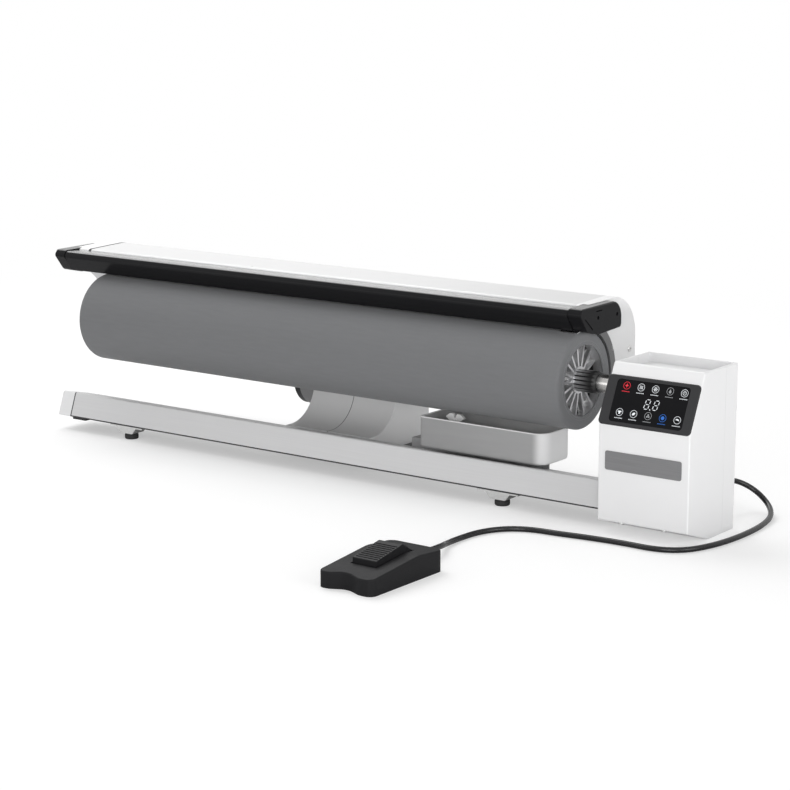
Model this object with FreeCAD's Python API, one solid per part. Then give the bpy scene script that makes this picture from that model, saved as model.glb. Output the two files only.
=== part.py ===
"""Rotary steam press: a padded drum on a cantilever shaft, a heated shoe on a rear pivot,
a drive box with a touch panel, a water tank and a foot pedal on a cable. Millimetres.

Bench frame used below: X runs from the left tip of the press head to the right side of the
drive box, Y runs back from the front lower edge of the base beam, Z runs up from the floor.
Every piece is moved to the origin of the finished part when it is written.
"""
import FreeCAD, Part
import math
import os

V = FreeCAD.Vector

# Overall
OVERALL_LENGTH = 1200.0
RUN_GAP = 0.3          # between pieces that move past each other
FIT_GAP = 0.05         # radial, shaft in a bush
SEAT_GAP = 0.02        # radial, piece fixed on a shaft
SHEET = 2.5            # wall of moulded covers

# Drum
DRUM_Y = 68.5
DRUM_Z = 178.0
DRUM_RADIUS = 68.3
DRUM_LEFT = 86.0
DRUM_END_IN = 11.0     # right end of the drum, inside the head's right end
DRUM_RIM_ROUND = 8.0
CLOTH = 1.8
CLOTH_END = 2.5
PADDING = 4.5
TUBE_WALL = 3.0
HUB_OPENING = 49.0
HUB_DISC = 6.0
HUB_DEPTH = 16.0
HUB_RIM = 4.0
HUB_RIBS = 16
RIB_THICKNESS = 3.2
COLLAR_RADIUS = 18.8
COLLAR_IN = 5.0        # inside the end of the tube
BOSS_RADIUS = 15.6
BOSS_OUT = 26.0
BOSS_NOSE = 5.0
BOSS_GROOVES = 16
GROOVE_RADIUS = 1.1
SHAFT_RADIUS = 13.0
VENT_RADIUS = 3.0
VENT_CIRCLE = 43.0
VENTS = 8

# Press head
HEAD_GAP = 74.0        # from the head to the drive box
CAP_DEPTH = 22.0
END_COVER_IN = 11.0
LEFT_COVER_WIDTH = 33.0
RIGHT_COVER_WIDTH = 17.0
TOP_SEAM = 2.0         # open seam at the left end of the top cover
SHOE_GAP = 2.0
SHOE_THICKNESS = 12.0
SHOE_BACK_ANGLE = -3.0
SHOE_FRONT_ANGLE = 97.0
HEATER_RADIUS = 4.0
HEATER_ANGLES = (25.0, 62.0)
HEATER_INSET = 50.0
THERMOSTAT_RADIUS = 9.0
THERMOSTAT_ANGLE = 43.0
THERMOSTAT_SINK = 2.0
THERMOSTAT_HEIGHT = 12.0
COVER_FRONT_Y = 71.0
COVER_FALL = 2.5
COVER_ROUND = 6.0
HEAD_ROOM = 23.1       # above the shoe
HEAD_BACK = 204.0
HEAD_BACK_ROUND = 60.0
HEAD_BOTTOM = 168.0
HEAD_BEAM_FRONT = 172.0
HEAD_BEAM_DEPTH = 26.0
HEAD_BEAM_LOW = 188.0
HEAD_BEAM_HEIGHT = 44.0
HEAD_BEAM_WALL = 2.0
SHOE_BRACKET = 6.0
HEAD_SCREW_RADIUS = 4.5
HEAD_SCREW_HEIGHT = 1.4
END_SCREW_Y = 187.5
END_SCREW_Z = 204.6
BACK_SCREW_UP = 12.0
END_ROUND = 2.0
# Outlines of the front bar and its caps, from the top front corner of the head: back, up, rounding
BAR_OUTLINE = (
    (0.0, -5.0, 0), (-27.0, -4.2, 6.0), (-32.5, -12.2, 5.0), (-18.0, -35.6, 2.0),
    (-13.5, -35.6, 0), (-14.0, -20.9, 0), (0.0, -19.4, 0),
)
CAP_OUTLINE = (
    (-27.0, -2.9, 5.0), (-33.5, -11.4, 5.0), (-14.5, -36.4, 10.0), (17.0, -43.4, 10.0),
    (75.0, -40.1, 5.0), (75.0, -1.8, 24.0),
)
CAP_ROUND = 1.2
CAP_SEAM = 1.4         # groove between cap and bar
CAP_HOLES = ((13.6, -19.7), (63.0, -20.9))
CAP_HOLE_RADIUS = 2.6
CAP_HOLE_DEPTH = 6.0
CAP_SLOT = (8.0, 23.5, -11.1, -9.6)
CAP_LINE = ((-20.8, -18.4), (-0.9, -35.2), (0.5, -34.0), (-19.4, -17.2))

# Pivot of the head
PIVOT_Y = 188.0
PIVOT_Z = 100.0
PIVOT_RADIUS = 12.0
BARREL_RADIUS = 44.0
BARREL_WALL = 3.0
BUSH_WIDTH = 10.0
ARM_THICKNESS = 10.0
ARM_GAP = 1.0
ARM_EYE = 43.0
PRESS_MOTOR_RADIUS = 36.0
PRESS_MOTOR_LENGTH = 140.0
PRESS_MOTOR_ROOM = 8.75     # between the motor and each bush
MOTOR_RING = 6.0

# Base beam and feet
BEAM_LEFT = 36.0
BEAM_CAP = 26.0
BEAM_CAP_PLUG = 12.0
BEAM_LOW = 21.3
BEAM_RIDGE_Y = 13.6
BEAM_RIDGE_Z = 59.1
BEAM_BACK = 70.0
BEAM_BACK_TOP = 46.0
BEAM_WALL = 2.5
BUMPER_LENGTH = 28.0
BUMPER_WIDTH = 20.0
BUMPER_HEIGHT = 4.0
FOOT_LEFT_IN = 146.8
FOOT_RIGHT_IN = 180.5
FOOT_Y = 14.0
FOOT_RADIUS = 10.8
BRACKET_TOP_HALF = 22.0
BRACKET_LOW_HALF = 13.0
BRACKET_DEPTH = 26.0
BRACKET_LOW = 10.0
BRACKET_SHEET = 2.0
BRACKET_TAB = 12.0
REAR_FOOT_SPREAD = 59.0
REAR_FOOT_Y = 205.0

# Column
COLUMN_SHIFT = 34.0    # from the middle of the head
COLUMN_WIDTH = 158.0
COLUMN_SEAM = 0.4
COLUMN_FOOT_Y = 71.0
COLUMN_ARC_Y = 80.5
COLUMN_ARC_Z = 105.2
COLUMN_ARC = 58.4
COLUMN_TOP = 114.0
COLUMN_BACK = 222.0
COLUMN_TOP_ROUND = 2.0
COLUMN_EDGE = 1.5
PLATE = 4.0
PLATE_FRONT = 20.0
PLATE_BACK = 225.0
PLATE_OVERHANG = 10.0
RIB_INSET = 12.0
PUMP_RADIUS = 12.0
PUMP_LENGTH = 70.0
PUMP_Y = 119.0
PUMP_FOOT = 4.0

# Water tank
TANK_GAP = 121.0       # from the tank to the drive box
TANK_LENGTH = 211.0
TANK_FRONT = 25.0
TANK_DEPTH = 76.0
TANK_LOW = 59.6
TANK_TOP = 104.7
TANK_CORNER = 20.0
TANK_LEFT_CORNER = 6.6
TANK_REAR_CORNER = 25.0
TANK_LOW_ROUND = 4.0
TANK_RIM_ROUND = 0.8
TRAY_SHEET = 2.0
TRAY_LOW = 25.0
TRAY_REACH = 45.0      # to the left of the tank
VALVE_IN = 25.0
VALVE_LENGTH = 32.0
VALVE_Y = 58.0
VALVE_TOP = 107.5
WING_RISE = 5.5
WING_THICKNESS = 5.0
STEM_RADIUS = 5.0

# Drive box
BOX_WIDTH = 136.0
BOX_FRONT = -30.4
BOX_KNEE = 147.0
BOX_TOP_FRONT = 5.5
BOX_TOP = 224.4
BOX_BACK = 94.1
BOX_SPLIT = 61.5
BOX_CHIN = 17.6
BOX_FOOT = 23.0
TRAY_FLOOR = 211.0
TRAY_RIM = 4.0
BASE_SHEET = 3.0
BOX_ROUND = 3.0
BOX_EDGE = 2.0
PANEL_TOP_MARGIN = 17.3
PANEL_OVER = 1.5       # beyond the left side of the box
PANEL_THICKNESS = 2.2
PANEL_CORNER = 6.0
PANEL_EDGE = 1.2
GLASS_INSET_X = 13.5
GLASS_INSET_Z = 5.0
WINDOW_INSET = 5.0
GLASS_THICKNESS = 1.5
GLASS_CORNER = 5.0
BOARD = 1.6
BOARD_SIDE = 18.0
BOARD_LOW_MARGIN = 12.4
BOARD_TOP_MARGIN = 22.0
BOARD_PART_IN = 8.0
BOARD_PART_UP = 10.0
RELAY_SIZE = (20.0, 16.4, 28.0)
TRANSFORMER_SIZE = (36.0, 28.4, 32.0)
HEAT_SINK_SIZE = (10.4, 26.0)
NAME_LEFT = 11.0
NAME_LENGTH = 114.0
NAME_DROP = 34.5      # from the knee to its top edge
NAME_HEIGHT = 25.5
NAME_CORNER = 3.0
NAME_THICKNESS = 1.0
GEAR_MODULE = 1.5
GEAR_TEETH = 26
PINION_TEETH = 13
GEAR_BACKLASH = 0.12
GEAR_IN = 26.0
GEAR_WIDTH = 12.0
PINION_ANGLE = 225.0
PINION_SHAFT = 4.0
BEARING_PLATE = 5.0
BEARING_IN = 6.0
BEARING_SPAN = 48.0
BEARING_RADIUS = 16.0
BUSH_OUT = 3.0
DRIVE_MOTOR_RADIUS = 25.0
DRIVE_MOTOR_LENGTH = 62.0
DRIVE_FLANGE_RADIUS = 28.0
INLET_IN = 34.0
INLET_Z = 52.0
INLET_WIDTH = 28.0
INLET_HEIGHT = 21.0
INLET_DEPTH = 18.0
INLET_RIM = 3.0
SOCKET_DEPTH = 14.0
PIN_PITCH = 7.0
PIN_SIZE = (2.0, 10.0, 5.0)
BOX_SCREW_RADIUS = 3.5
BOX_SCREW_INSET = 9.0

# Pedal and cable
PEDAL_BESIDE = 138.0   # left of the drive box
PEDAL_WIDTH = 82.5
PEDAL_FRONT = -449.0
PEDAL_LENGTH = 149.0
PEDAL_SCOOP = 11.0
PEDAL_BASE = 4.0
PEDAL_FRONT_TOP = 21.0
PEDAL_CREST = 31.0
PEDAL_CREST_Y = -352.0
PEDAL_REAR_TOP = 27.0
PEDAL_CREST_ROUND = 60.0
PEDAL_EDGE = 2.0
ROCKER_IN = 23.0
ROCKER_WIDTH = 36.0
ROCKER_FRONT = -409.0
ROCKER_LENGTH = 70.0
ROCKER_SLOT_GAP = 1.5
ROCKER_FRONT_TOP = 32.0
ROCKER_CREST = 42.0
ROCKER_CREST_BACK = 16.0
ROCKER_SKIRT = 20.0
ROCKER_PIN_RADIUS = 3.0
ROCKER_PIN_Z = 15.0
ROCKER_RIBS = 9
SWITCH_SIZE = (16.0, 20.0, 6.0)
CABLE_RADIUS = 3.8
GLAND_IN = 86.0
GLAND_Z = 47.0
GLAND_LENGTH = 30.0
RELIEF_LENGTH = 24.0
RELIEF_RADIUS = 6.5
RELIEF_Z = 13.0
CABLE_LEAD = 30.0
# Points of the cable, X from the left side of the drive box
CABLE_ROUTE = (
    (95.0, 181.0, 43.0), (118.0, 197.0, 31.0), (148.0, 192.0, 14.0), (170.0, 163.0, 6.0),
    (180.0, 118.0, 4.1), (183.0, 72.0, 4.0), (181.5, 28.0, 4.0), (174.0, -14.0, 4.0),
    (155.0, -52.0, 4.0), (118.0, -71.0, 4.0), (66.0, -70.0, 4.0), (16.0, -74.0, 4.0),
    (-28.0, -81.0, 4.0), (-68.0, -84.0, 4.0), (-98.0, -101.0, 4.0), (-116.0, -134.0, 4.0),
    (-119.0, -178.0, 4.0), (-113.0, -220.0, 6.0),
)

# Values worked out from the ones above
BOX_LEFT = OVERALL_LENGTH - BOX_WIDTH
BOX_RIGHT = OVERALL_LENGTH
HEAD_RIGHT = BOX_LEFT - HEAD_GAP
DRUM_RIGHT = HEAD_RIGHT - DRUM_END_IN
BEAM_BODY_LEFT = BEAM_LEFT + BEAM_CAP
FOOT_X = (BEAM_LEFT + FOOT_LEFT_IN, BOX_LEFT - FOOT_RIGHT_IN)
PADDING_RADIUS = DRUM_RADIUS - CLOTH
TUBE_RADIUS = PADDING_RADIUS - PADDING
TUBE_BORE = TUBE_RADIUS - TUBE_WALL
CORE_LEFT = DRUM_LEFT + CLOTH_END
CORE_RIGHT = DRUM_RIGHT - CLOTH_END
SHOE_INNER = DRUM_RADIUS + SHOE_GAP
SHOE_OUTER = SHOE_INNER + SHOE_THICKNESS
HEAD_TOP = DRUM_Z + SHOE_OUTER + HEAD_ROOM
COVER_FRONT_Z = HEAD_TOP - COVER_FALL
BACK_PANEL_TOP = HEAD_TOP - HEAD_BACK_ROUND
END_LEFT = END_COVER_IN
END_RIGHT = HEAD_RIGHT - END_COVER_IN
COVER_LEFT = END_LEFT + LEFT_COVER_WIDTH
COVER_RIGHT = END_RIGHT - RIGHT_COVER_WIDTH
HEAD_MIDDLE = HEAD_RIGHT / 2
COLUMN_MIDDLE = HEAD_MIDDLE + COLUMN_SHIFT
COLUMN_LEFT = COLUMN_MIDDLE - COLUMN_WIDTH / 2
COLUMN_RIGHT = COLUMN_MIDDLE + COLUMN_WIDTH / 2
REAR_FOOT_X = (COLUMN_MIDDLE - REAR_FOOT_SPREAD, COLUMN_MIDDLE + REAR_FOOT_SPREAD)
BARREL_RIGHT = COLUMN_RIGHT - SHEET - ARM_THICKNESS - 2 * ARM_GAP
BARREL_LEFT = BARREL_RIGHT - PRESS_MOTOR_LENGTH - 2 * (PRESS_MOTOR_ROOM + BUSH_WIDTH)
PLATE_TOP = BEAM_LOW
PLATE_LOW = BEAM_LOW - PLATE
TANK_RIGHT = BOX_LEFT - TANK_GAP
TANK_LEFT = TANK_RIGHT - TANK_LENGTH
TANK_BACK = TANK_FRONT + TANK_DEPTH
BEARING_LEFT = BOX_LEFT + BEARING_IN
BEARING_RIGHT = BEARING_LEFT + BEARING_SPAN
GEAR_LEFT = BOX_LEFT + GEAR_IN
INLET_X = BOX_LEFT + INLET_IN
GLAND_X = BOX_LEFT + GLAND_IN
GEAR_CENTRES = GEAR_MODULE * (GEAR_TEETH + PINION_TEETH) / 2
PINION_Y = DRUM_Y + GEAR_CENTRES * math.cos(math.radians(PINION_ANGLE))
PINION_Z = DRUM_Z + GEAR_CENTRES * math.sin(math.radians(PINION_ANGLE))
PEDAL_LEFT = BOX_LEFT - PEDAL_BESIDE
PEDAL_RIGHT = PEDAL_LEFT + PEDAL_WIDTH
PEDAL_BACK = PEDAL_FRONT + PEDAL_LENGTH
PEDAL_MIDDLE = (PEDAL_LEFT + PEDAL_RIGHT) / 2
ROCKER_LEFT = PEDAL_LEFT + ROCKER_IN
ROCKER_RIGHT = ROCKER_LEFT + ROCKER_WIDTH
ROCKER_BACK = ROCKER_FRONT + ROCKER_LENGTH
ROCKER_PIN_Y = (ROCKER_FRONT + ROCKER_BACK) / 2
ORIGIN = V(OVERALL_LENGTH / 2, (PEDAL_FRONT + max(HEAD_BACK, PLATE_BACK, PIVOT_Y + BARREL_RADIUS)) / 2, 0)


def rounded_face(corners, place):
    """Flat face through corners (u, v, radius); place turns u, v into a point."""
    starts = []
    middles = []
    ends = []
    count = len(corners)
    for i in range(count):
        u, v, radius = corners[i]
        here = V(u, v, 0)
        back = (V(corners[i - 1][0], corners[i - 1][1], 0) - here).normalize()
        ahead = (V(corners[(i + 1) % count][0], corners[(i + 1) % count][1], 0) - here).normalize()
        if radius == 0:
            starts.append(here)
            middles.append(None)
            ends.append(here)
            continue
        half = back.getAngle(ahead) / 2
        reach = radius / math.tan(half)
        centre = here + (back + ahead).normalize() * (radius / math.sin(half))
        starts.append(here + back * reach)
        middles.append(centre + (here - centre).normalize() * radius)
        ends.append(here + ahead * reach)
    edges = []
    for i in range(count):
        if middles[i] is not None:
            arc = Part.Arc(place(starts[i]), place(middles[i]), place(ends[i]))
            edges.append(arc.toShape())
        follow = starts[(i + 1) % count]
        if (follow - ends[i]).Length > 1e-6:
            edges.append(Part.LineSegment(place(ends[i]), place(follow)).toShape())
    return Part.Face(Part.Wire(edges))


def yz_prism(corners, x0, x1):
    """Solid of a side profile (y, z, radius), from x0 to x1."""
    return rounded_face(corners, lambda p: V(x0, p.x, p.y)).extrude(V(x1 - x0, 0, 0))


def xy_prism(corners, z0, z1):
    """Solid of a plan outline (x, y, radius), from z0 to z1."""
    return rounded_face(corners, lambda p: V(p.x, p.y, z0)).extrude(V(0, 0, z1 - z0))


def xz_prism(corners, y0, y1):
    """Solid of a front outline (x, z, radius), from y0 to y1."""
    return rounded_face(corners, lambda p: V(p.x, y0, p.y)).extrude(V(0, y1 - y0, 0))


def inset_prism(corners, inset, x0, x1):
    """Solid of a side profile drawn in all round by inset, from x0 to x1."""
    face = rounded_face(corners, lambda p: V(x0, p.x, p.y))
    return face.makeOffset2D(-inset).extrude(V(x1 - x0, 0, 0))


def block(x0, x1, y0, y1, z0, z1):
    """Box between two corners."""
    return Part.makeBox(x1 - x0, y1 - y0, z1 - z0, V(x0, y0, z0))


def rod_x(x0, x1, y, z, radius):
    """Round bar along X."""
    return Part.makeCylinder(radius, x1 - x0, V(x0, y, z), V(1, 0, 0))


def ring_x(x0, x1, y, z, outer, inner):
    """Round tube along X."""
    return rod_x(x0, x1, y, z, outer).cut(rod_x(x0 - 1, x1 + 1, y, z, inner))


def disc_y(x, y0, y1, z, radius):
    """Round bar along Y."""
    return Part.makeCylinder(radius, y1 - y0, V(x, y0, z), V(0, 1, 0))


def side_edges(shape, x, keep=lambda edge: True):
    """Edges of shape that lie in the plane at x and pass the test."""
    flat = [e for e in shape.Edges if abs(e.BoundBox.XMin - x) < 0.01 and abs(e.BoundBox.XMax - x) < 0.01]
    return [e for e in flat if keep(e)]


def about_drum(shape, angle):
    """Shape turned about the drum's axis; the angle runs from +Y towards +Z."""
    turned = shape.copy()
    turned.rotate(V(0, DRUM_Y, DRUM_Z), V(1, 0, 0), angle)
    return turned


def join(shapes):
    """One solid out of shapes that touch."""
    whole = shapes[0]
    for shape in shapes[1:]:
        whole = whole.fuse(shape)
    return whole.removeSplitter()


def write(name, shape):
    """Write one piece, moved to the origin of the finished part."""
    moved = shape.copy()
    moved.translate(-ORIGIN)
    moved.exportStep("parts/" + name + ".step")


def gear(teeth, y, z, x0, x1, tooth_angle):
    """Involute spur gear along X with one tooth centred on tooth_angle (degrees)."""
    pressure = math.radians(20)
    pitch = GEAR_MODULE * teeth / 2
    base = pitch * math.cos(pressure)
    tip = pitch + GEAR_MODULE
    root = pitch - 1.25 * GEAR_MODULE
    half_at_pitch = (math.pi * GEAR_MODULE / 2 - GEAR_BACKLASH) / (2 * pitch)
    involute_pitch = math.tan(pressure) - pressure
    steps = 4
    low = max(base, root)
    points = []
    for tooth in range(teeth):
        middle = math.radians(tooth_angle) + 2 * math.pi * tooth / teeth
        flank = []
        for step in range(steps + 1):
            radius = low + (tip - low) * step / steps
            roll = math.acos(min(1.0, base / radius))
            half = half_at_pitch + involute_pitch - (math.tan(roll) - roll)
            flank.append((radius, half))
        foot = (root, flank[0][1])
        side = [foot] + flank if root < low else flank
        for radius, half in side:
            points.append(V(x0, y + radius * math.cos(middle - half), z + radius * math.sin(middle - half)))
        for radius, half in reversed(side):
            points.append(V(x0, y + radius * math.cos(middle + half), z + radius * math.sin(middle + half)))
    return Part.Face(Part.makePolygon(points + points[:1])).extrude(V(x1 - x0, 0, 0))


def cord(points, radius):
    """Round cord along straight runs joined by tangent arcs; prints its radii and length."""
    edges = []
    last = points[0]
    radii = []
    for i in range(1, len(points) - 1):
        here = points[i]
        back = points[i - 1] - here
        ahead = points[i + 1] - here
        shorter = min(back.Length, ahead.Length)
        turn = math.pi - back.getAngle(ahead)
        reach = 0.45 * shorter
        bend = reach / math.tan(turn / 2)
        back.normalize()
        ahead.normalize()
        centre = here + (back + ahead).normalize() * math.hypot(bend, reach)
        middle = centre + (here - centre).normalize() * bend
        edges.append(Part.LineSegment(last, here + back * reach).toShape())
        edges.append(Part.Arc(here + back * reach, middle, here + ahead * reach).toShape())
        last = here + ahead * reach
        radii.append(round(bend, 1))
    edges.append(Part.LineSegment(last, points[-1]).toShape())
    path = Part.Wire(edges)
    start = points[1] - points[0]
    section = Part.Wire(Part.makeCircle(radius, points[0], start))
    shell = Part.BRepOffsetAPI.MakePipeShell(path)
    shell.add(section)
    shell.build()
    shell.makeSolid()
    solid = Part.Solid(shell.shape().Shells[0])
    share = solid.Volume / (math.pi * radius ** 2 * path.Length)
    print("cord length", round(path.Length, 1), "least radius", min(radii), "volume share", round(share, 4))
    print("cord radii", radii)
    return solid


os.makedirs("parts", exist_ok=True)

# Base beam: hollow extrusion with a leaning front face and a rear face that falls away
beam_profile = (
    (0, BEAM_LOW, 1.5), (BEAM_RIDGE_Y, BEAM_RIDGE_Z, 3.0),
    (BEAM_BACK, BEAM_BACK_TOP, 3.0), (BEAM_BACK, BEAM_LOW, 1.5),
)
beam = yz_prism(beam_profile, BEAM_BODY_LEFT, BOX_LEFT)
beam = beam.cut(inset_prism(beam_profile, BEAM_WALL, BEAM_BODY_LEFT - 1, BOX_LEFT + 1))
write("base_beam", beam)

# End cap: moulded block with a plug that goes into the open end of the beam
cap = yz_prism(beam_profile, BEAM_LEFT, BEAM_BODY_LEFT)
cap = cap.makeFillet(CAP_ROUND, side_edges(cap, BEAM_LEFT))
plug = inset_prism(beam_profile, BEAM_WALL + RUN_GAP, BEAM_BODY_LEFT, BEAM_BODY_LEFT + BEAM_CAP_PLUG)
write("beam_end_cap", join([cap, plug]))

# Bumper: rubber strip under the left end of the beam
bumper_left = BEAM_BODY_LEFT + 1.5
bumper_front = BEAM_BACK / 14
bumper = block(bumper_left, bumper_left + BUMPER_LENGTH, bumper_front, bumper_front + BUMPER_WIDTH,
               BEAM_LOW - BUMPER_HEIGHT, BEAM_LOW)
write("beam_bumper", bumper)

# Foot brackets: two pressed cups under the beam, each with two fixing tabs
brackets = []
for x in FOOT_X:
    y0 = FOOT_Y - BRACKET_DEPTH / 2
    y1 = FOOT_Y + BRACKET_DEPTH / 2
    slope = (BRACKET_TOP_HALF - BRACKET_LOW_HALF) / (BEAM_LOW - BRACKET_LOW)
    outline = (
        (x - BRACKET_TOP_HALF, BEAM_LOW, 0), (x + BRACKET_TOP_HALF, BEAM_LOW, 0),
        (x + BRACKET_LOW_HALF, BRACKET_LOW, 2.5), (x - BRACKET_LOW_HALF, BRACKET_LOW, 2.5),
    )
    inner_half = BRACKET_LOW_HALF + slope * BRACKET_SHEET - BRACKET_SHEET
    hollow_outline = (
        (x - BRACKET_TOP_HALF + BRACKET_SHEET, BEAM_LOW + 1, 0),
        (x + BRACKET_TOP_HALF - BRACKET_SHEET, BEAM_LOW + 1, 0),
        (x + inner_half, BRACKET_LOW + BRACKET_SHEET, 0),
        (x - inner_half, BRACKET_LOW + BRACKET_SHEET, 0),
    )
    cup = xz_prism(outline, y0, y1).cut(xz_prism(hollow_outline, y0 + BRACKET_SHEET, y1 - BRACKET_SHEET))
    tabs = []
    for tab_left in (x - BRACKET_TOP_HALF - BRACKET_TAB, x + BRACKET_TOP_HALF - BRACKET_SHEET):
        tabs.append(block(tab_left, tab_left + BRACKET_TAB + BRACKET_SHEET, y0, y1, BEAM_LOW - BRACKET_SHEET,
                          BEAM_LOW))
    brackets.append(join([cup] + tabs))
write("foot_brackets", Part.makeCompound(brackets))

# Rubber feet: two under the brackets, two under the rear of the column plate
feet = []
for x in FOOT_X:
    feet.append(Part.makeCylinder(FOOT_RADIUS, BRACKET_LOW, V(x, FOOT_Y, 0)))
for x in REAR_FOOT_X:
    feet.append(Part.makeCylinder(FOOT_RADIUS, PLATE_LOW, V(x, REAR_FOOT_Y, 0)))
write("rubber_feet", Part.makeCompound(feet))

# Column frame: welded plate and two side plates that carry the pivot barrel
frame_plate = block(COLUMN_LEFT - PLATE_OVERHANG, COLUMN_RIGHT + PLATE_OVERHANG, PLATE_FRONT, PLATE_BACK,
                    PLATE_LOW, PLATE_TOP)
arc_inner = COLUMN_ARC + SHEET + RUN_GAP
rib_back = COLUMN_BACK - SHEET - RUN_GAP
side_profile = (
    (COLUMN_FOOT_Y + SHEET + 2 * RUN_GAP, PLATE_TOP, 0), (rib_back, PLATE_TOP, 0), (rib_back, PIVOT_Z, 0),
    (COLUMN_ARC_Y + arc_inner + RUN_GAP, PIVOT_Z, 0),
    (COLUMN_ARC_Y + arc_inner + RUN_GAP, COLUMN_ARC_Z - arc_inner - RUN_GAP, arc_inner),
    (COLUMN_FOOT_Y + SHEET + 2 * RUN_GAP, COLUMN_ARC_Z - arc_inner - RUN_GAP, 0),
)
saddle = rod_x(COLUMN_LEFT, COLUMN_RIGHT, PIVOT_Y, PIVOT_Z, BARREL_RADIUS + SEAT_GAP)
sides = []
for x in (COLUMN_LEFT + RIB_INSET, BARREL_RIGHT - RIB_INSET - PLATE):
    sides.append(yz_prism(side_profile, x, x + PLATE).cut(saddle))
write("column_frame", join([frame_plate] + sides))

# Column covers: two moulded halves whose front sweeps up from the beam in a quarter circle
cover_profile = (
    (COLUMN_FOOT_Y, PLATE_TOP, 0), (COLUMN_FOOT_Y, COLUMN_ARC_Z - COLUMN_ARC, 0),
    (COLUMN_ARC_Y + COLUMN_ARC, COLUMN_ARC_Z - COLUMN_ARC, COLUMN_ARC),
    (COLUMN_ARC_Y + COLUMN_ARC, COLUMN_TOP, COLUMN_TOP_ROUND), (COLUMN_BACK, COLUMN_TOP, COLUMN_TOP_ROUND),
    (COLUMN_BACK, PLATE_TOP, 0),
)
hollow_profile = (
    (COLUMN_FOOT_Y + SHEET, PLATE_TOP - 1, 0), (COLUMN_FOOT_Y + SHEET, COLUMN_ARC_Z - COLUMN_ARC - SHEET, 0),
    (COLUMN_ARC_Y + COLUMN_ARC + SHEET, COLUMN_ARC_Z - COLUMN_ARC - SHEET, COLUMN_ARC + SHEET),
    (COLUMN_ARC_Y + COLUMN_ARC + SHEET, COLUMN_TOP - SHEET, 0), (COLUMN_BACK - SHEET, COLUMN_TOP - SHEET, 0),
    (COLUMN_BACK - SHEET, PLATE_TOP - 1, 0),
)
barrel_room = rod_x(COLUMN_LEFT - 1, COLUMN_RIGHT - SHEET, PIVOT_Y, PIVOT_Z, BARREL_RADIUS + RUN_GAP)


def shown_edge(edge):
    """True for the edges of a column side that are above the base plate."""
    return edge.BoundBox.ZMax > COLUMN_ARC_Z - COLUMN_ARC + 0.1


seam_left = COLUMN_MIDDLE - COLUMN_SEAM / 2
seam_right = COLUMN_MIDDLE + COLUMN_SEAM / 2
left_cover = yz_prism(cover_profile, COLUMN_LEFT, seam_left)
left_cover = left_cover.makeFillet(COLUMN_EDGE, side_edges(left_cover, COLUMN_LEFT, shown_edge))
left_cover = left_cover.cut(yz_prism(hollow_profile, COLUMN_LEFT + SHEET, seam_left + 1)).cut(barrel_room)
write("column_cover_left", left_cover)
right_cover = yz_prism(cover_profile, seam_right, COLUMN_RIGHT)
right_cover = right_cover.makeFillet(COLUMN_EDGE, side_edges(right_cover, COLUMN_RIGHT, shown_edge))
right_cover = right_cover.cut(yz_prism(hollow_profile, seam_right - 1, COLUMN_RIGHT - SHEET)).cut(barrel_room)
write("column_cover_right", right_cover)

# Pivot barrel, its two bushes and the tubular gear motor that turns the pivot shaft
barrel_bore = BARREL_RADIUS - BARREL_WALL
write("pivot_barrel", ring_x(BARREL_LEFT, BARREL_RIGHT, PIVOT_Y, PIVOT_Z, BARREL_RADIUS, barrel_bore))
bushes = []
for x in (BARREL_LEFT, BARREL_RIGHT - BUSH_WIDTH):
    bushes.append(ring_x(x, x + BUSH_WIDTH, PIVOT_Y, PIVOT_Z, barrel_bore - SEAT_GAP, PIVOT_RADIUS + FIT_GAP))
write("pivot_bushes", Part.makeCompound(bushes))
motor_left = BARREL_LEFT + BUSH_WIDTH + PRESS_MOTOR_ROOM
motor_right = motor_left + PRESS_MOTOR_LENGTH
press_motor = [ring_x(motor_left, motor_right, PIVOT_Y, PIVOT_Z, PRESS_MOTOR_RADIUS, PIVOT_RADIUS + RUN_GAP)]
for x in (motor_left, motor_right - MOTOR_RING):
    press_motor.append(ring_x(x, x + MOTOR_RING, PIVOT_Y, PIVOT_Z, barrel_bore - SEAT_GAP,
                              PIVOT_RADIUS + RUN_GAP))
write("press_motor", join(press_motor))

# Water pump: small round pump on a foot inside the column
pump_left = COLUMN_MIDDLE - 0.6 * PUMP_LENGTH
pump_z = PLATE_TOP + PUMP_FOOT + PUMP_RADIUS
pump_body = rod_x(pump_left, pump_left + PUMP_LENGTH, PUMP_Y, pump_z, PUMP_RADIUS)
pump_foot = block(pump_left, pump_left + PUMP_LENGTH, PUMP_Y - PUMP_RADIUS, PUMP_Y + PUMP_RADIUS,
                  PLATE_TOP, pump_z - PUMP_RADIUS / 2)
pump_spout = rod_x(pump_left + PUMP_LENGTH, pump_left + 1.2 * PUMP_LENGTH, PUMP_Y, pump_z, PUMP_RADIUS / 3)
write("water_pump", join([pump_body, pump_foot, pump_spout]))

# Tank tray: bent sheet on the back of the beam, under the tank
tray_top = TANK_LOW - RUN_GAP
tray_profile = (
    (BEAM_BACK, TRAY_LOW, 0), (BEAM_BACK + TRAY_SHEET, TRAY_LOW, 0),
    (BEAM_BACK + TRAY_SHEET, tray_top - TRAY_SHEET, 0),
    (TANK_BACK, tray_top - TRAY_SHEET, 0), (TANK_BACK, tray_top, 0), (BEAM_BACK, tray_top, 0),
)
write("tank_tray", yz_prism(tray_profile, TANK_LEFT - TRAY_REACH, TANK_RIGHT - TANK_CORNER))

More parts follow.
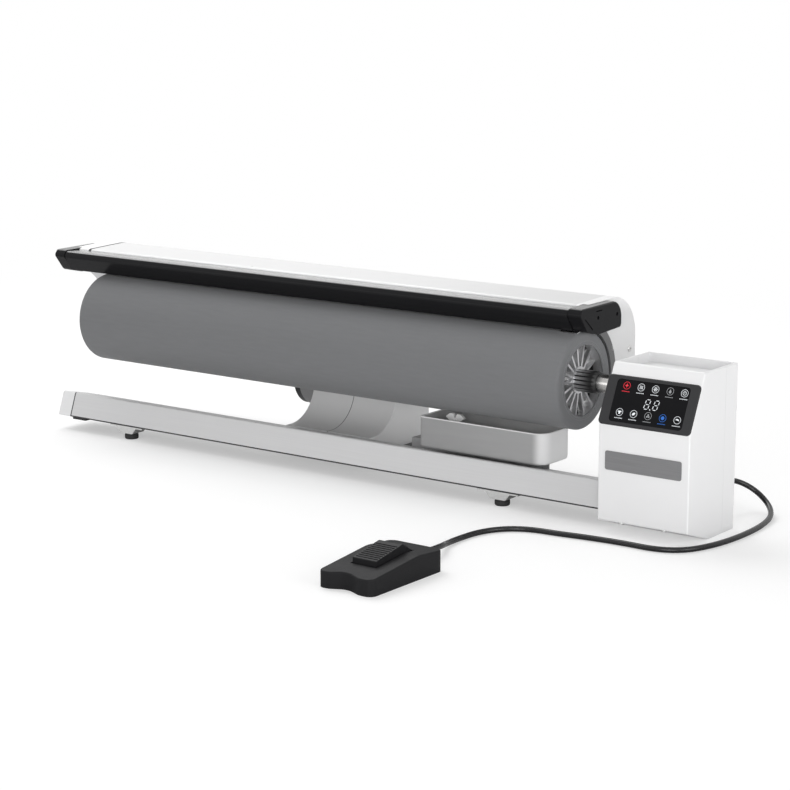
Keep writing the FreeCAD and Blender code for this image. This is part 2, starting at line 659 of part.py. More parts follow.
# Water tank: open box with rounded corners; slides out to the front
tank_outline = (
    (TANK_LEFT, TANK_FRONT, TANK_LEFT_CORNER), (TANK_RIGHT, TANK_FRONT, TANK_CORNER),
    (TANK_RIGHT, TANK_BACK, TANK_CORNER), (TANK_LEFT, TANK_BACK, TANK_REAR_CORNER),
)
tank_hollow = (
    (TANK_LEFT + SHEET, TANK_FRONT + SHEET, TANK_LEFT_CORNER - SHEET),
    (TANK_RIGHT - SHEET, TANK_FRONT + SHEET, TANK_CORNER - SHEET),
    (TANK_RIGHT - SHEET, TANK_BACK - SHEET, TANK_CORNER - SHEET),
    (TANK_LEFT + SHEET, TANK_BACK - SHEET, TANK_REAR_CORNER - SHEET),
)
tank = xy_prism(tank_outline, TANK_LOW, TANK_TOP)
low_edges = [e for e in tank.Edges if abs(e.BoundBox.ZMax - TANK_LOW) < 0.01]
tank = tank.makeFillet(TANK_LOW_ROUND, low_edges)
tank = tank.cut(xy_prism(tank_hollow, TANK_LOW + SHEET, TANK_TOP + 1))
rim_edges = [e for e in tank.Edges if abs(e.BoundBox.ZMin - TANK_TOP) < 0.01]
tank = tank.makeFillet(TANK_RIM_ROUND, rim_edges)
write("water_tank", tank)

# Tank valve: moulded wing nut on a stem that stands on the tank floor
valve_x = TANK_LEFT + VALVE_IN + VALVE_LENGTH / 2
valve_floor = TANK_LOW + SHEET
wing_z = VALVE_TOP - WING_RISE
wing = VALVE_LENGTH / 2
wing_outline = (
    (valve_x - wing, wing_z, 0.8), (valve_x - 0.55 * wing, VALVE_TOP, 1.5),
    (valve_x - 0.2 * wing, VALVE_TOP, 0.8), (valve_x - 0.1 * wing, wing_z, 0.8),
    (valve_x + 0.1 * wing, wing_z, 0.8), (valve_x + 0.2 * wing, VALVE_TOP, 0.8),
    (valve_x + 0.55 * wing, VALVE_TOP, 1.5), (valve_x + wing, wing_z, 0.8),
    (valve_x + 0.5 * wing, wing_z - WING_RISE, 1.5), (valve_x - 0.5 * wing, wing_z - WING_RISE, 1.5),
)
wings = xz_prism(wing_outline, VALVE_Y - WING_THICKNESS / 2, VALVE_Y + WING_THICKNESS / 2)
stem = Part.makeCylinder(STEM_RADIUS, wing_z - WING_RISE / 2 - valve_floor, V(valve_x, VALVE_Y, valve_floor))
write("tank_valve", join([wings, stem]))

# Drum: tube, felt padding and a cloth cover drawn over both rims
core = rod_x(CORE_LEFT, CORE_RIGHT, DRUM_Y, DRUM_Z, PADDING_RADIUS)
core_rims = [e for e in core.Edges if e.Length > PADDING_RADIUS and e.Closed]
core = core.makeFillet(DRUM_RIM_ROUND - CLOTH, core_rims)
skin = rod_x(DRUM_LEFT, DRUM_RIGHT, DRUM_Y, DRUM_Z, DRUM_RADIUS)
skin = skin.makeFillet(DRUM_RIM_ROUND, [e for e in skin.Edges if e.Length > DRUM_RADIUS and e.Closed])
opening = rod_x(DRUM_LEFT - 1, DRUM_RIGHT + 1, DRUM_Y, DRUM_Z, HUB_OPENING)
write("drum_cover", skin.cut(core).cut(opening))
write("drum_padding", core.cut(rod_x(CORE_LEFT - 1, CORE_RIGHT + 1, DRUM_Y, DRUM_Z, TUBE_RADIUS)))
write("drum_tube", ring_x(CORE_LEFT, CORE_RIGHT, DRUM_Y, DRUM_Z, TUBE_RADIUS, TUBE_BORE).common(core))

# Drum hub: die casting with radial ribs, a collar and a splined boss, set into the right end of the tube
hub_face = CORE_RIGHT - HUB_DEPTH
disc_radius = TUBE_BORE - SEAT_GAP
rim_inner = HUB_OPENING + 1
collar_right = CORE_RIGHT - COLLAR_IN
boss_right = DRUM_RIGHT + BOSS_OUT
nose_left = boss_right - BOSS_NOSE
hub = [rod_x(hub_face - HUB_DISC, hub_face, DRUM_Y, DRUM_Z, disc_radius)]
hub.append(rod_x(hub_face - HUB_DISC, collar_right, DRUM_Y, DRUM_Z, COLLAR_RADIUS))
hub.append(rod_x(hub_face - HUB_DISC, nose_left, DRUM_Y, DRUM_Z, BOSS_RADIUS))
hub.append(Part.makeCone(BOSS_RADIUS, SHAFT_RADIUS + 1, BOSS_NOSE, V(nose_left, DRUM_Y, DRUM_Z), V(1, 0, 0)))
hub.append(ring_x(hub_face - 1, CORE_RIGHT - SEAT_GAP, DRUM_Y, DRUM_Z, rim_inner + HUB_RIM, rim_inner))
rib_outline = (
    (hub_face - 1, DRUM_Y + BOSS_RADIUS, 0), (hub_face - 1, DRUM_Y + rim_inner + 1, 0),
    (hub_face + 0.4 * HUB_DEPTH, DRUM_Y + rim_inner + 1, 0), (collar_right - 1, DRUM_Y + BOSS_RADIUS, 0),
)
rib = xy_prism(rib_outline, DRUM_Z - RIB_THICKNESS / 2, DRUM_Z + RIB_THICKNESS / 2)
for i in range(HUB_RIBS):
    hub.append(about_drum(rib, 360 * i / HUB_RIBS))
hub = join(hub)
groove = rod_x(collar_right, boss_right + 1, DRUM_Y + BOSS_RADIUS, DRUM_Z, GROOVE_RADIUS)
for i in range(BOSS_GROOVES):
    hub = hub.cut(about_drum(groove, 360 * (i + 0.5) / BOSS_GROOVES))
vent = rod_x(hub_face - HUB_DISC - 1, hub_face + 1, DRUM_Y + VENT_CIRCLE, DRUM_Z, VENT_RADIUS)
for i in range(VENTS):
    hub = hub.cut(about_drum(vent, 360 * i / VENTS + 180 / HUB_RIBS))
hub = hub.cut(rod_x(hub_face - HUB_DISC - 1, boss_right + 1, DRUM_Y, DRUM_Z, SHAFT_RADIUS + SEAT_GAP))
write("drum_hub", hub)

# Drum end disc: closed plug in the free left end of the tube, with a socket for the shaft
plug_right = CORE_LEFT + HUB_DISC
socket_right = plug_right + 2 * HUB_DISC
end_disc = [rod_x(DRUM_LEFT + 1, CORE_LEFT + 1, DRUM_Y, DRUM_Z, HUB_OPENING - RUN_GAP)]
end_disc.append(rod_x(CORE_LEFT + SEAT_GAP, plug_right, DRUM_Y, DRUM_Z, disc_radius))
end_disc.append(rod_x(plug_right - 1, socket_right, DRUM_Y, DRUM_Z, COLLAR_RADIUS))
end_disc = join(end_disc).cut(rod_x(plug_right, socket_right + 1, DRUM_Y, DRUM_Z, SHAFT_RADIUS + SEAT_GAP))
write("drum_end_disc", end_disc)

# Drum shaft: one polished bar from the end disc into the drive box
write("drum_shaft", rod_x(plug_right, BEARING_RIGHT + BEARING_PLATE, DRUM_Y, DRUM_Z, SHAFT_RADIUS))

# Drive gear on the shaft and the pinion on the motor, in mesh
drive_gear = gear(GEAR_TEETH, DRUM_Y, DRUM_Z, GEAR_LEFT, GEAR_LEFT + GEAR_WIDTH, PINION_ANGLE)
gear_bore = rod_x(GEAR_LEFT - 1, GEAR_LEFT + GEAR_WIDTH + 1, DRUM_Y, DRUM_Z, SHAFT_RADIUS + SEAT_GAP)
drive_gear = drive_gear.cut(gear_bore)
write("drive_gear", drive_gear)
pinion_tooth = PINION_ANGLE + 180 + 180 / PINION_TEETH
flange_left = BEARING_RIGHT + BEARING_PLATE
pinion = gear(PINION_TEETH, PINION_Y, PINION_Z, GEAR_LEFT, GEAR_LEFT + GEAR_WIDTH, pinion_tooth)
pinion_shaft_right = flange_left + 3 * PINION_SHAFT
pinion_shaft = rod_x(GEAR_LEFT, pinion_shaft_right, PINION_Y, PINION_Z, PINION_SHAFT)
write("motor_pinion", join([pinion, pinion_shaft]))

# Drive motor: flanged to the right bearing plate, its nose takes the pinion shaft
motor_flange = rod_x(flange_left, flange_left + BEARING_PLATE, PINION_Y, PINION_Z, DRIVE_FLANGE_RADIUS)
motor_body = rod_x(flange_left, flange_left + DRIVE_MOTOR_LENGTH, PINION_Y, PINION_Z, DRIVE_MOTOR_RADIUS)
motor_nose = rod_x(flange_left - 1, pinion_shaft_right + RUN_GAP, PINION_Y, PINION_Z, PINION_SHAFT + FIT_GAP)
write("drive_motor", join([motor_flange, motor_body]).cut(motor_nose))

# Drive bracket: bent steel cradle with the two bearing plates, on the box floor
bracket_front = BOX_FOOT + SHEET + RUN_GAP
bracket_back = BOX_BACK - SHEET - 2 * RUN_GAP
bracket_top = DRUM_Z + BEARING_RADIUS + 2 * BEARING_PLATE
cradle = [block(BEARING_LEFT, BEARING_RIGHT + BEARING_PLATE, bracket_front, bracket_back,
                BASE_SHEET, BASE_SHEET + BEARING_PLATE)]
for x in (BEARING_LEFT, BEARING_RIGHT):
    cradle.append(block(x, x + BEARING_PLATE, bracket_front, bracket_back, BASE_SHEET, bracket_top))
cradle = join(cradle)
cradle = cradle.cut(rod_x(BEARING_LEFT - 1, flange_left + 1, DRUM_Y, DRUM_Z, BEARING_RADIUS))
cradle = cradle.cut(rod_x(BEARING_RIGHT - 1, flange_left + 1, PINION_Y, PINION_Z, PINION_SHAFT + 1))
write("drive_bracket", cradle)

# Shaft bushes: two sintered bushes in the bearing plates
bush_outer = BEARING_RADIUS - SEAT_GAP
bush_inner = SHAFT_RADIUS + FIT_GAP
left_bush = ring_x(BEARING_LEFT - BUSH_OUT, BEARING_LEFT + BEARING_PLATE, DRUM_Y, DRUM_Z,
                   bush_outer, bush_inner)
right_bush = ring_x(BEARING_RIGHT - BUSH_OUT, flange_left, DRUM_Y, DRUM_Z, bush_outer, bush_inner)
write("shaft_bushes", Part.makeCompound([left_bush, right_bush]))

# Drive box: front shell with a leaning face and an open tray in its top
shell_profile = (
    (BOX_FRONT, BOX_CHIN, BOX_ROUND), (BOX_FRONT, BOX_KNEE, BOX_ROUND), (BOX_TOP_FRONT, BOX_TOP, BOX_ROUND),
    (BOX_SPLIT, BOX_TOP, 0), (BOX_SPLIT, 0, 0), (BOX_FOOT, 0, 0),
)
inner_left = BOX_LEFT + SHEET
inner_right = BOX_RIGHT - SHEET
under_tray = TRAY_FLOOR - SHEET
hollow = inset_prism(shell_profile, SHEET, inner_left, inner_right)
hollow = hollow.common(block(inner_left, inner_right, BOX_FRONT, BOX_SPLIT, 0, under_tray))
rear_way = block(inner_left, inner_right, BOX_FOOT + SHEET, BOX_SPLIT + 1, -1, under_tray)
front_tray = block(BOX_LEFT + TRAY_RIM, BOX_RIGHT - TRAY_RIM, BOX_TOP_FRONT + TRAY_RIM, BOX_SPLIT + 1,
                   TRAY_FLOOR, BOX_TOP + 1)
shaft_way = rod_x(BOX_LEFT - 1, inner_left + 1, DRUM_Y, DRUM_Z, SHAFT_RADIUS + 1.5)
lean = math.hypot(BOX_TOP_FRONT - BOX_FRONT, BOX_TOP - BOX_KNEE)
lean_up = V(0, (BOX_TOP_FRONT - BOX_FRONT) / lean, (BOX_TOP - BOX_KNEE) / lean)
lean_out = V(0, -lean_up.z, lean_up.y)
knee = V(0, BOX_FRONT, BOX_KNEE)


def panel_plate(x0, x1, low, high, depth0, depth1, corner):
    """Rounded plate on the leaning face: low and high along the slope, depth outwards."""
    start = knee + lean_out * depth0

    def place(p):
        return start + V(p.x, 0, 0) + lean_up * p.y

    outline = ((x0, low, corner), (x1, low, corner), (x1, high, corner), (x0, high, corner))
    return rounded_face(outline, place).extrude(lean_out * (depth1 - depth0))


panel_length = lean - PANEL_TOP_MARGIN
glass_left = BOX_LEFT + GLASS_INSET_X
glass_right = BOX_RIGHT - GLASS_INSET_X
glass_low = GLASS_INSET_Z
glass_high = panel_length - GLASS_INSET_Z
window = panel_plate(glass_left + WINDOW_INSET, glass_right - WINDOW_INSET, glass_low + WINDOW_INSET,
                     glass_high - WINDOW_INSET, -2 * SHEET, 1, GLASS_CORNER / 2)


def front_edge(edge):
    """True for the edges of a shell side in front of the split and above the foot."""
    box = edge.BoundBox
    return box.YMin < BOX_SPLIT - 0.01 and box.ZMax > BOX_CHIN + 0.01


front_shell = yz_prism(shell_profile, BOX_LEFT, BOX_RIGHT)
for x in (BOX_LEFT, BOX_RIGHT):
    front_shell = front_shell.makeFillet(BOX_EDGE, side_edges(front_shell, x, front_edge))
front_shell = front_shell.cut(hollow).cut(rear_way).cut(front_tray).cut(window)
write("box_front_shell", front_shell.cut(shaft_way))

# Rear cover of the box, with the rest of the tray and the ways out at the back
back_cover = block(BOX_LEFT, BOX_RIGHT, BOX_SPLIT + RUN_GAP, BOX_BACK, 0, BOX_TOP)
back_edges = [e for e in back_cover.Edges if e.BoundBox.YMax > BOX_BACK - 0.01]
back_edges = [e for e in back_edges if e.BoundBox.ZMax > BOX_TOP - 0.01]
back_cover = back_cover.makeFillet(BOX_EDGE, back_edges)
back_cover = back_cover.cut(block(inner_left, inner_right, BOX_SPLIT, BOX_BACK - SHEET, -1, under_tray))
back_cover = back_cover.cut(block(BOX_LEFT + TRAY_RIM, BOX_RIGHT - TRAY_RIM, BOX_SPLIT, BOX_BACK - TRAY_RIM,
                                  TRAY_FLOOR, BOX_TOP + 1))
inlet_half = INLET_WIDTH / 2
inlet_rise = INLET_HEIGHT / 2
back_cover = back_cover.cut(block(INLET_X - inlet_half, INLET_X + inlet_half, BOX_SPLIT, BOX_BACK + 1,
                                  INLET_Z - inlet_rise, INLET_Z + inlet_rise))
gland_stem = RELIEF_RADIUS - 1
back_cover = back_cover.cut(disc_y(GLAND_X, BOX_SPLIT, BOX_BACK + 1, GLAND_Z, gland_stem + SEAT_GAP))
write("box_rear_cover", back_cover.cut(shaft_way))

# Base plate of the box: the face it stands on
write("box_base_plate", block(inner_left + RUN_GAP, inner_right - RUN_GAP, BOX_FOOT + SHEET + RUN_GAP,
                              BOX_BACK - SHEET - RUN_GAP, 0, BASE_SHEET))

# Panel frame, glass and the two boards behind them
panel = panel_plate(BOX_LEFT - PANEL_OVER, BOX_RIGHT, 0, panel_length, 0, PANEL_THICKNESS, PANEL_CORNER)
face_out = (knee + lean_out * PANEL_THICKNESS).dot(lean_out)
face_edges = [e for e in panel.Edges if all(abs(v.Point.dot(lean_out) - face_out) < 0.01 for v in e.Vertexes)]
panel = panel.makeChamfer(PANEL_EDGE, face_edges)
panel = panel.cut(panel_plate(glass_left, glass_right, glass_low, glass_high, -1, PANEL_THICKNESS + 1,
                              GLASS_CORNER))
write("panel_frame", panel)
glass = panel_plate(glass_left + SEAT_GAP, glass_right - SEAT_GAP, glass_low + SEAT_GAP,
                    glass_high - SEAT_GAP, 0, GLASS_THICKNESS, GLASS_CORNER)
write("panel_glass", glass)
write("display_board", panel_plate(glass_left, glass_right, glass_low, glass_high, -SHEET - BOARD, -SHEET,
                                   BOARD))
board_y = BOX_FRONT + SHEET
board_left = BOX_LEFT + BOARD_SIDE
board_right = BOX_RIGHT - BOARD_SIDE
board_low = BOX_CHIN + BOARD_LOW_MARGIN
board_high = BOX_KNEE - BOARD_TOP_MARGIN
part_y = board_y + BOARD
part_low = board_low + BOARD_PART_UP
board = block(board_left, board_right, board_y, part_y, board_low, board_high)
relay_left = board_left + BOARD_PART_IN
relay = block(relay_left, relay_left + RELAY_SIZE[0], part_y, part_y + RELAY_SIZE[1],
              part_low, part_low + RELAY_SIZE[2])
transformer_right = board_right - BOARD_PART_IN
transformer = block(transformer_right - TRANSFORMER_SIZE[0], transformer_right,
                    part_y, part_y + TRANSFORMER_SIZE[1], part_low, part_low + TRANSFORMER_SIZE[2])
sink_high = board_high - BOARD_PART_UP
heat_sink = block(relay_left, transformer_right, part_y, part_y + HEAT_SINK_SIZE[0],
                  sink_high - HEAT_SINK_SIZE[1], sink_high)
write("control_board", join([board, relay, transformer, heat_sink]))

# Bare name plate on the front of the box
name_left = BOX_LEFT + NAME_LEFT
name_right = name_left + NAME_LENGTH
name_high = BOX_KNEE - NAME_DROP
name_low = name_high - NAME_HEIGHT
name_outline = (
    (name_left, name_low, NAME_CORNER), (name_right, name_low, NAME_CORNER),
    (name_right, name_high, NAME_CORNER), (name_left, name_high, NAME_CORNER),
)
write("name_plate", xz_prism(name_outline, BOX_FRONT - NAME_THICKNESS, BOX_FRONT))

# Box screws: four on the rear cover and two heads under the chin
screws = []
for x in (BOX_LEFT + BOX_SCREW_INSET, BOX_RIGHT - BOX_SCREW_INSET):
    for z in (2 * BOX_SCREW_INSET, BOX_TOP - 3 * BOX_SCREW_INSET):
        screws.append(disc_y(x, BOX_BACK, BOX_BACK + 1.5, z, BOX_SCREW_RADIUS))
chin = V(0, BOX_FOOT - BOX_FRONT, -BOX_CHIN)
chin_out = V(0, chin.z, -chin.y).normalize()
for share in (0.25, 0.72):
    seat = V(BOX_LEFT + share * BOX_WIDTH, BOX_FRONT, BOX_CHIN) + chin * 0.12
    screws.append(Part.makeCylinder(BOX_SCREW_RADIUS, 2.0, seat, chin_out))
write("box_screws", Part.makeCompound(screws))

# Mains inlet set into the rear cover
inlet = block(INLET_X - inlet_half + SEAT_GAP, INLET_X + inlet_half - SEAT_GAP,
              BOX_BACK - INLET_DEPTH, BOX_BACK, INLET_Z - inlet_rise + SEAT_GAP, INLET_Z + inlet_rise - SEAT_GAP)
inlet_rim = block(INLET_X - inlet_half - INLET_RIM, INLET_X + inlet_half + INLET_RIM, BOX_BACK, BOX_BACK + 2,
                  INLET_Z - inlet_rise - INLET_RIM, INLET_Z + inlet_rise + INLET_RIM)
inlet_socket = block(INLET_X - inlet_half + INLET_RIM, INLET_X + inlet_half - INLET_RIM,
                     BOX_BACK - SOCKET_DEPTH, BOX_BACK + INLET_RIM,
                     INLET_Z - inlet_rise + INLET_RIM, INLET_Z + inlet_rise - INLET_RIM)
inlet = join([inlet, inlet_rim]).cut(inlet_socket)
for x in (INLET_X - PIN_PITCH, INLET_X, INLET_X + PIN_PITCH):
    inlet = inlet.fuse(block(x - PIN_SIZE[0] / 2, x + PIN_SIZE[0] / 2, BOX_BACK - SOCKET_DEPTH - 1,
                             BOX_BACK - SOCKET_DEPTH + PIN_SIZE[1], INLET_Z - PIN_SIZE[2] / 2,
                             INLET_Z + PIN_SIZE[2] / 2))
write("mains_inlet", inlet)

# Cable gland on the rear cover: stem, flange and a tapered sleeve
gland = [disc_y(GLAND_X, BOX_BACK - 2 * SHEET, BOX_BACK + 1, GLAND_Z, gland_stem)]
gland.append(disc_y(GLAND_X, BOX_BACK, BOX_BACK + 3, GLAND_Z, RELIEF_RADIUS + 2))
gland.append(Part.makeCone(RELIEF_RADIUS, CABLE_RADIUS + 1, GLAND_LENGTH, V(GLAND_X, BOX_BACK, GLAND_Z),
                           V(0, 1, 0)))
write("cable_gland", join(gland))

# Pedal: flat base, hump-backed cover with a scooped front edge
pedal_outline = (
    (PEDAL_LEFT, PEDAL_FRONT, 9.0), (PEDAL_LEFT + 0.2 * PEDAL_WIDTH, PEDAL_FRONT, 16.0),
    (PEDAL_LEFT + 0.46 * PEDAL_WIDTH, PEDAL_FRONT + PEDAL_SCOOP, 22.0),
    (PEDAL_LEFT + 0.76 * PEDAL_WIDTH, PEDAL_FRONT, 16.0), (PEDAL_RIGHT, PEDAL_FRONT, 10.0),
    (PEDAL_RIGHT, PEDAL_BACK, 12.0), (PEDAL_LEFT, PEDAL_BACK, 12.0),
)
write("pedal_base", xy_prism(pedal_outline, 0, PEDAL_BASE))
pedal_side = (
    (PEDAL_FRONT - 1, PEDAL_BASE, 0), (PEDAL_FRONT - 1, PEDAL_FRONT_TOP, 0),
    (PEDAL_CREST_Y, PEDAL_CREST, PEDAL_CREST_ROUND),
    (PEDAL_BACK + 1, PEDAL_REAR_TOP, 0), (PEDAL_BACK + 1, PEDAL_BASE, 0),
)
pedal_under = (
    (PEDAL_FRONT - 1, PEDAL_BASE - 1, 0), (PEDAL_FRONT - 1, PEDAL_FRONT_TOP - SHEET, 0),
    (PEDAL_CREST_Y, PEDAL_CREST - SHEET, PEDAL_CREST_ROUND), (PEDAL_BACK + 1, PEDAL_REAR_TOP - SHEET, 0),
    (PEDAL_BACK + 1, PEDAL_BASE - 1, 0),
)
pedal_face = rounded_face(pedal_outline, lambda p: V(p.x, p.y, 0))
pedal_room = pedal_face.makeOffset2D(-SHEET).extrude(V(0, 0, ROCKER_CREST))
pedal_room = pedal_room.common(yz_prism(pedal_under, PEDAL_LEFT, PEDAL_RIGHT))
pedal_cover = xy_prism(pedal_outline, PEDAL_BASE, ROCKER_CREST)
pedal_cover = pedal_cover.common(yz_prism(pedal_side, PEDAL_LEFT - 1, PEDAL_RIGHT + 1))
pedal_high = [e for e in pedal_cover.Edges if e.BoundBox.ZMin > PEDAL_FRONT_TOP - 1]
pedal_top = [e for e in pedal_high if e.BoundBox.XLength < PEDAL_WIDTH - 1]
pedal_cover = pedal_cover.makeFillet(PEDAL_EDGE, pedal_top).cut(pedal_room)
slot = block(ROCKER_LEFT - ROCKER_SLOT_GAP, ROCKER_RIGHT + ROCKER_SLOT_GAP,
             ROCKER_FRONT - 2 * ROCKER_SLOT_GAP, ROCKER_BACK + 4 * ROCKER_SLOT_GAP, PEDAL_BASE + 1, ROCKER_CREST)
pin_lug = block(ROCKER_LEFT - ROCKER_SLOT_GAP - 5, ROCKER_RIGHT + ROCKER_SLOT_GAP + 5, ROCKER_PIN_Y - 6,
                ROCKER_PIN_Y + 6, PEDAL_BASE, PEDAL_CREST - SHEET)
pin_lug = pin_lug.cut(slot)
pin_way = rod_x(ROCKER_LEFT - 10, ROCKER_RIGHT + 10, ROCKER_PIN_Y, ROCKER_PIN_Z, ROCKER_PIN_RADIUS + SEAT_GAP)
relief_way = disc_y(PEDAL_MIDDLE, PEDAL_BACK - 10, PEDAL_BACK + 10, RELIEF_Z, gland_stem + SEAT_GAP)
pedal_cover = join([pedal_cover.cut(slot)] + pin_lug.Solids).cut(pin_way).cut(relief_way)
write("pedal_cover", pedal_cover)

# Pedal rocker: ribbed wedge on a cross pin
crest_front = ROCKER_BACK - ROCKER_CREST_BACK
rocker_side = (
    (ROCKER_FRONT, ROCKER_SKIRT, 0), (ROCKER_FRONT, ROCKER_FRONT_TOP, 1.5), (crest_front, ROCKER_CREST, 6.0),
    (ROCKER_BACK, ROCKER_FRONT_TOP, 2.0), (ROCKER_BACK, ROCKER_SKIRT, 0),
)
rocker = yz_prism(rocker_side, ROCKER_LEFT, ROCKER_RIGHT)
hub_half = 2.2 * ROCKER_PIN_RADIUS
rocker = rocker.fuse(block(ROCKER_LEFT, ROCKER_RIGHT, ROCKER_PIN_Y - hub_half, ROCKER_PIN_Y + hub_half,
                           ROCKER_PIN_Z - 1.6 * ROCKER_PIN_RADIUS, ROCKER_SKIRT + 1))
rise = (ROCKER_CREST - ROCKER_FRONT_TOP) / (crest_front - ROCKER_FRONT)
for i in range(ROCKER_RIBS):
    rib_y = ROCKER_FRONT + (crest_front - ROCKER_FRONT) * (i + 1) / (ROCKER_RIBS + 2)
    rib_z = ROCKER_FRONT_TOP + rise * (rib_y - ROCKER_FRONT)
    rocker = rocker.fuse(rod_x(ROCKER_LEFT + 2, ROCKER_RIGHT - 2, rib_y, rib_z, 0.9))
rocker = rocker.removeSplitter()
pin_bore = rod_x(ROCKER_LEFT - 1, ROCKER_RIGHT + 1, ROCKER_PIN_Y, ROCKER_PIN_Z, ROCKER_PIN_RADIUS + FIT_GAP)
rocker = rocker.cut(pin_bore)
write("pedal_rocker", rocker)
pin_reach = ROCKER_SLOT_GAP + 4.5
write("rocker_pin", rod_x(ROCKER_LEFT - pin_reach, ROCKER_RIGHT + pin_reach, ROCKER_PIN_Y, ROCKER_PIN_Z,
                          ROCKER_PIN_RADIUS))

# Microswitch on the pedal base, under the back of the rocker
switch_x = (ROCKER_LEFT + ROCKER_RIGHT) / 2
switch_y = ROCKER_BACK - SWITCH_SIZE[1] / 2
write("pedal_switch", block(switch_x - SWITCH_SIZE[0] / 2, switch_x + SWITCH_SIZE[0] / 2,
                            switch_y - SWITCH_SIZE[1] / 2, switch_y + SWITCH_SIZE[1] / 2,
                            PEDAL_BASE, PEDAL_BASE + SWITCH_SIZE[2]))

# Strain relief in the back of the pedal
relief = [disc_y(PEDAL_MIDDLE, PEDAL_BACK - 2 * SHEET, PEDAL_BACK + 1, RELIEF_Z, gland_stem)]
relief.append(Part.makeCone(RELIEF_RADIUS, CABLE_RADIUS + 1, RELIEF_LENGTH,
                            V(PEDAL_MIDDLE, PEDAL_BACK, RELIEF_Z), V(0, 1, 0)))
write("pedal_relief", join(relief))

# Pedal cable: lies on the floor from the gland round the box to the pedal
route = [V(GLAND_X, BOX_BACK + GLAND_LENGTH, GLAND_Z)]
route.append(route[0] + V(0, CABLE_LEAD, 0))
for point in CABLE_ROUTE:
    route.append(V(BOX_LEFT, 0, 0) + V(*point))
route.append(V(PEDAL_MIDDLE, PEDAL_BACK + RELIEF_LENGTH + CABLE_LEAD, RELIEF_Z))
route.append(V(PEDAL_MIDDLE, PEDAL_BACK + RELIEF_LENGTH, RELIEF_Z))
write("pedal_cable", cord(route, CABLE_RADIUS))

# Shoe: curved aluminium sole that wraps the top and back of the drum
shoe = ring_x(END_LEFT, END_RIGHT, DRUM_Y, DRUM_Z, SHOE_OUTER, SHOE_INNER)
reach = 2 * SHOE_OUTER
back_cut = Part.makeBox(HEAD_RIGHT, 2 * reach, reach, V(0, DRUM_Y - reach, DRUM_Z - reach))
front_cut = Part.makeBox(HEAD_RIGHT, 2 * reach, reach, V(0, DRUM_Y - reach, DRUM_Z))
shoe = shoe.cut(about_drum(back_cut, SHOE_BACK_ANGLE)).cut(about_drum(front_cut, SHOE_FRONT_ANGLE))
heater_left = END_LEFT + HEATER_INSET
heater_right = END_RIGHT - HEATER_INSET
rods = []
for angle in HEATER_ANGLES:
    seat_rod = rod_x(END_LEFT - 1, END_RIGHT + 1, DRUM_Y + SHOE_OUTER, DRUM_Z, HEATER_RADIUS + FIT_GAP)
    shoe = shoe.cut(about_drum(seat_rod, angle))
    heater = rod_x(heater_left, heater_right, DRUM_Y + SHOE_OUTER, DRUM_Z, HEATER_RADIUS)
    rods.append(about_drum(heater, angle))
sensor_seat = DRUM_Y + SHOE_OUTER - THERMOSTAT_SINK
sensor_top = sensor_seat + THERMOSTAT_HEIGHT
sensor_way = disc_y(HEAD_MIDDLE, sensor_seat, sensor_top, DRUM_Z, THERMOSTAT_RADIUS + SEAT_GAP)
shoe = shoe.cut(about_drum(sensor_way, THERMOSTAT_ANGLE))
write("shoe", shoe)
write("heater_rods", Part.makeCompound(rods))
sensor = disc_y(HEAD_MIDDLE, sensor_seat, sensor_top, DRUM_Z, THERMOSTAT_RADIUS)
write("thermostat", about_drum(sensor, THERMOSTAT_ANGLE))

# Head beam, the brackets that carry the shoe and the two hinge arms
head_beam_back = HEAD_BEAM_FRONT + HEAD_BEAM_DEPTH
head_beam_top = HEAD_BEAM_LOW + HEAD_BEAM_HEIGHT
head_beam = block(COVER_LEFT, COVER_RIGHT, HEAD_BEAM_FRONT, head_beam_back, HEAD_BEAM_LOW, head_beam_top)
head_beam = head_beam.cut(block(COVER_LEFT - 1, COVER_RIGHT + 1, HEAD_BEAM_FRONT + HEAD_BEAM_WALL,
                                head_beam_back - HEAD_BEAM_WALL, HEAD_BEAM_LOW + HEAD_BEAM_WALL,
                                head_beam_top - HEAD_BEAM_WALL))
write("head_beam", head_beam)
bracket_side = (
    (HEAD_BEAM_FRONT, HEAD_BEAM_LOW, 0), (HEAD_BEAM_FRONT, head_beam_top, 0),
    (DRUM_Y + 0.7 * SHOE_OUTER, head_beam_top + 26, 0), (DRUM_Y + 0.7 * SHOE_OUTER, HEAD_BEAM_LOW, 0),
)
hold = []
for share in (0.15, 0.42, 0.58, 0.85):
    x = share * HEAD_RIGHT - SHOE_BRACKET / 2
    plate = yz_prism(bracket_side, x, x + SHOE_BRACKET)
    plate = plate.cut(rod_x(x - 1, x + SHOE_BRACKET + 1, DRUM_Y, DRUM_Z, SHOE_OUTER + SEAT_GAP))
    for angle in HEATER_ANGLES:
        room = rod_x(x - 1, x + SHOE_BRACKET + 1, DRUM_Y + SHOE_OUTER, DRUM_Z, HEATER_RADIUS + 0.5)
        plate = plate.cut(about_drum(room, angle))
    hold.append(max(plate.Solids, key=lambda s: s.Volume))
write("shoe_brackets", Part.makeCompound(hold))
arm_side = (
    (PIVOT_Y - ARM_EYE, PIVOT_Z, 0), (head_beam_back, PIVOT_Z, 0),
    (head_beam_back, HEAD_BEAM_LOW, 0), (HEAD_BEAM_FRONT, HEAD_BEAM_LOW, 0),
)
arms = []
for x in (BARREL_LEFT - ARM_GAP - ARM_THICKNESS, BARREL_RIGHT + ARM_GAP):
    arm_eye = rod_x(x, x + ARM_THICKNESS, PIVOT_Y, PIVOT_Z, ARM_EYE)
    arm = join([arm_eye, yz_prism(arm_side, x, x + ARM_THICKNESS)])
    arms.append(arm.cut(rod_x(x - 1, x + ARM_THICKNESS + 1, PIVOT_Y, PIVOT_Z, PIVOT_RADIUS + SEAT_GAP)))
write("hinge_arms", Part.makeCompound(arms))
